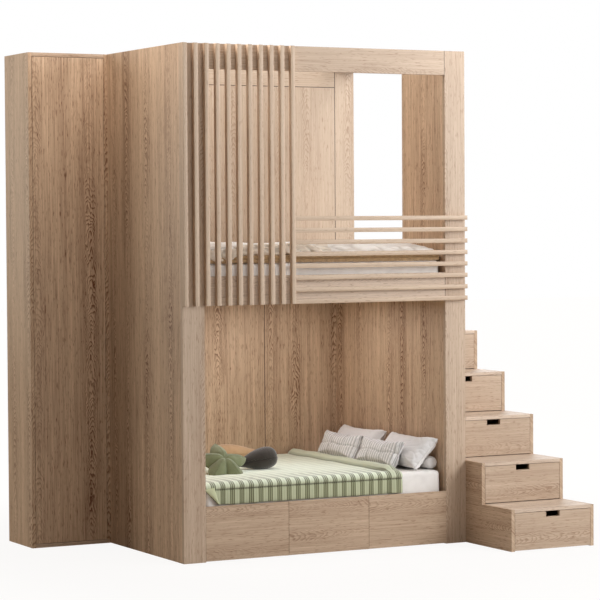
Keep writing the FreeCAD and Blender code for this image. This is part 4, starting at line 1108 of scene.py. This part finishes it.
mesh = swollen(stuffed(outline, STAR_THICKNESS * 0.92, 1.35, 0.85), 0.005, 0.006)
points = points_of(mesh)
angle = np.arctan2(points[:, 1], points[:, 0])
step = 2 * math.pi / STAR_POINTS
to_tip = np.abs((angle + step / 2) % step - step / 2)
far = np.hypot(points[:, 0], points[:, 1])
tip_seam, waist_seam = bell(to_tip * far, 0.004), bell((step / 2 - to_tip) * far, 0.005)
swell = soft_noise(points, (0.04, 0.04, 0.04), 3.0) * 0.0020
push_out(mesh, tip_seam * 0.0014 - waist_seam * 0.0022 - bell(far, 0.022) * 0.012 + swell)
fixed(mesh, "seams_and_painted_shade", np.clip(waist_seam * 0.25 + tip_seam * 0.25, 0, 1))
star_cloth = cloth("light_green_cotton", "7B8060", "53593D", 0.0026)
laid_down(mesh, STAR_PLACE, STAR_TURN, blanket_top)
filled_piece("star_cushion_sewn", mesh, star_cloth, "star_cushion")

velvet = cloth("grey_cotton_velvet", "38312B", "1E1915", 0.0024, fuzz=0.6, cloud=0.02)
tan_cotton = cloth("tan_brushed_cotton", "B89570", "8F6F4E", 0.0026, mottle=0.45)
for name, size, thick_radius, place, turn, droop, made_of, slot in (
        ("grey_teardrop_cushion", 0.228, 0.058, (-0.076, 0.074), 170, 10, velvet, "grey_velvet"),
        ("tan_teardrop_cushion", 0.330, 0.052, (-0.270, 0.419), 4, 3, tan_cotton, "tan_cotton")):
    verts = []
    for place_share, radius_share in DROP_SHARES:
        radius = thick_radius * radius_share * 0.95
        for k in range(ROUND_COUNT):
            angle = 2 * math.pi * k / ROUND_COUNT
            verts.append((place_share * size, radius * math.cos(angle), radius * math.sin(angle)))
    mesh = skin(verts, between(len(DROP_SHARES), ROUND_COUNT, closed=True))
    outward(mesh)
    mesh = swollen(mesh, 0.005, 0.004)
    points = points_of(mesh)
    around = np.abs(np.arctan2(points[:, 2], points[:, 1]))
    away = np.minimum(around, np.pi - around) * np.hypot(points[:, 1], points[:, 2])
    seam = bell(away, 0.0035)
    swell = soft_noise(points, (0.05, 0.03, 0.03), size * 40) * 0.0016
    push_out(mesh, swell - seam * 0.0022)
    fixed(mesh, "seams_and_painted_shade", seam * 0.5)
    turned = (Matrix.Rotation(math.radians(turn), 3, "Z")
              @ Matrix.Rotation(math.radians(droop), 3, "Y"))
    lowest = (points_of(mesh) @ np.array(turned).T)[:, 2].min()
    where = (*place, blanket_top - 0.002 - lowest)
    laid_down(mesh, where, turned, blanket_top)
    filled_piece(name + "_sewn", mesh, made_of, name)
    rows = [[(share * size, side * thick_radius * 1.2, 0.0) for share in np.linspace(0.03, 0.95, 30)]
            for side in (1, -1)]
    grown(name + "_stitches", slot, STITCHES, base=lines_on(mesh, rows, where, turned, 0.0002),
          Pitch=0.008, Length=0.005, Thread=THREAD, Finish=made_of)


# Bedding of the upper bed: a thick tan blanket of brushed wool, folded flat over the mattress, and
# over it a down quilt with a tan cover and a cream lining, thrown back so that the lining shows.
ROLL_COUNT = 18
ROLL_END = -0.020
ROLL_Y, ROLL_DEPTH = -0.353, 0.0155
COVER_FROM, COVER_TOP = -0.52, 1.448
QUILT_LEFT, QUILT_RIGHT, QUILT_FRONT = -0.6765, 0.6185, -0.3785
BLANKET_FRONT = -0.338
low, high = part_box("tan_blanket")
mesh, flat, points = soft_block(low, high, (0.012, 0.016, 0.005), 0.014, 0.012)
normals = normals_of(mesh)
lay = (soft_noise(points, (0.12, 0.12, 0.02), 6.1) * 0.0020
       + soft_noise(points, (0.012, 0.012, 0.007), 2.8) * 0.0011)
fold = bell(points[:, 2] - (low.z + high.z) / 2, 0.0035) * (np.abs(normals[:, 2]) < 0.6)
move_to(mesh, points + normals * (np.minimum(lay, 0.0008) - fold * 0.004)[:, None])
fixed(mesh, "flat", flat[:, [0, 2, 1]])
# Painted shade in the crease that runs round the sides of the folded blanket.
fixed(mesh, "seams_and_painted_shade", fold * 0.6)
wool = cloth("brushed_brown_wool", "CBAA80", "957650", 0.004, mottle=0.8, fuzz=0.6, relief=0.0010,
             cloud=0.012, roughness=1.0)
filled_piece("tan_blanket_folded", mesh, wool, "tan_blanket")


def noise_at(x, y, z):
    """Smooth noise from -1 to 1 at one place."""
    return noise.noise(Vector((x, y, z)))


def quilt_top(x, y, low, high):
    """Height of the quilt's upper side: broad billows with deep folds between them."""
    fold = (1 - min(1.0, abs(noise_at(x / 0.42 + y / 0.50, y / 0.20, 8.4)) * 2.2)) ** 2
    edge = min(1.0, (x - low.x) / 0.05, (high.x - x) / 0.06, (y - low.y) / 0.05, (high.y - y) / 0.05)
    edge = math.sqrt(max(0.0, 1 - (1 - max(0.0, edge)) ** 2))
    rise = (0.041 + noise_at(x / 0.20, y / 0.15, 3.1) * 0.017 - fold * 0.018
            + noise_at(x / 0.05, y / 0.06, 1.7) * 0.003)
    return low.z + 0.004 + max(0.012, rise) * edge


low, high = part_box("cream_duvet")
xs, ys = np.linspace(low.x, high.x, 150), np.linspace(low.y, high.y, 120)
verts = [(x, y, quilt_top(x, y, low, high)) for x in xs for y in ys]
verts += [(x, y, low.z + 0.0005) for x in xs for y in ys]
rows, count = len(ys), len(xs) * len(ys)
upper = between(len(xs), rows)
faces = upper + [tuple(count + k for k in face[::-1]) for face in upper]
rim = (list(range(0, count - rows, rows)) + list(range(count - rows, count - 1))
       + list(range(count - 1, rows - 1, -rows)) + list(range(rows - 1, 0, -1)))
faces += [(a, count + a, count + b, b) for a, b in zip(rim, rim[1:] + rim[:1])]
# The cover hangs over the front at the left, in front of the folded blanket.
start = len(verts)
stations = np.linspace(low.x + 0.004, ROLL_END, 86)
for x in stations:
    thin = min(1.0, math.sqrt(max(0.02, (ROLL_END - x) / 0.14)),
               math.sqrt(max(0.05, (x - low.x) / 0.03)))
    gathered = min(1.0, max(0.0, (x - COVER_FROM) / 0.09))
    drop_z = 1.426 + 0.024 * gathered + 0.005 * noise_at(x / 0.07, 5.5, 0.3)
    tall = 0.038 - 0.008 * gathered
    for k in range(ROLL_COUNT):
        angle = 2 * math.pi * k / ROLL_COUNT
        across, up = math.cos(angle), math.sin(angle)
        wave = 1 + 0.16 * noise_at(x / 0.05, across * 1.5, up * 1.5)
        verts.append((x, ROLL_Y + ROLL_DEPTH * thin * wave * across,
                      drop_z + tall * thin * wave * up))
faces += [tuple(start + k for k in face) for face in between(len(stations), ROLL_COUNT, True)]
mesh = skin(verts, faces)
outward(mesh)
mesh = swollen(mesh, 0.012, 0.009, 3.0)
points, normals = points_of(mesh), normals_of(mesh)
free = (points[:, 2] > low.z + 0.006) | (points[:, 1] < low.y)
front = np.clip((-0.24 - points[:, 1]) / 0.06, 0, 1)
slant = points + np.outer(points[:, 2] - 1.42, (1.6, 0.0, 0.0))
crumple = creases(slant, (0.075, 0.09, 0.050), 4.9) * front
long_folds = creases(points + points[:, [1, 0, 2]] * 0.5, (0.55, 0.17, 1.0), 2.6) * (1 - front)
small = soft_noise(points, (0.035, 0.035, 0.03), 7.7) * (0.35 + 0.65 * front)
points += normals * ((small * 0.0020 - crumple * 0.0085 - long_folds * 0.0060) * free)[:, None]
points[:, 1] = np.maximum(points[:, 1], QUILT_FRONT)
points[:, 0] = np.clip(points[:, 0], QUILT_LEFT, QUILT_RIGHT)
settled = points[:, 1] > BLANKET_FRONT
points[settled, 2] = np.maximum(points[settled, 2], low.z)
move_to(mesh, points)
fixed(mesh, "flat", points)
# Painted shade, darkest in the deep crumples at the front.
fixed(mesh, "seams_and_painted_shade", np.clip(crumple * 0.5 - 0.1, 0, 1) * free)
# The seam colours of the lining and the cover are the colours of that painted shade.
linen = cloth("cream_cotton_lining", "FFFCF7", "F4ECE0", 0.003, mottle=0.35, cloud=0.08,
              seam="A08C74")
# The cover is tan cotton, drawn paler than the cloth: painted light for the light that is missing in
# the upper bed.
cover = cloth("tan_cotton_cover", "FBF1E2", "DEC7AA", 0.003, mottle=0.45, cloud=0.05,
              seam="5C4933")
filled_piece("cream_duvet_thrown", mesh, linen, "cream_duvet")
mesh.materials.append(cover)
for polygon in mesh.polygons:
    x, y, z = polygon.center
    edge = COVER_TOP + 0.008 * noise_at(x / 0.06, 0.0, 2.0)
    edge += 0.030 * min(1.0, max(0.0, (x - COVER_FROM) / 0.08))
    if x < 0.02 and y < -0.27 and z < edge:
        polygon.material_index = 1


low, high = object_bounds()
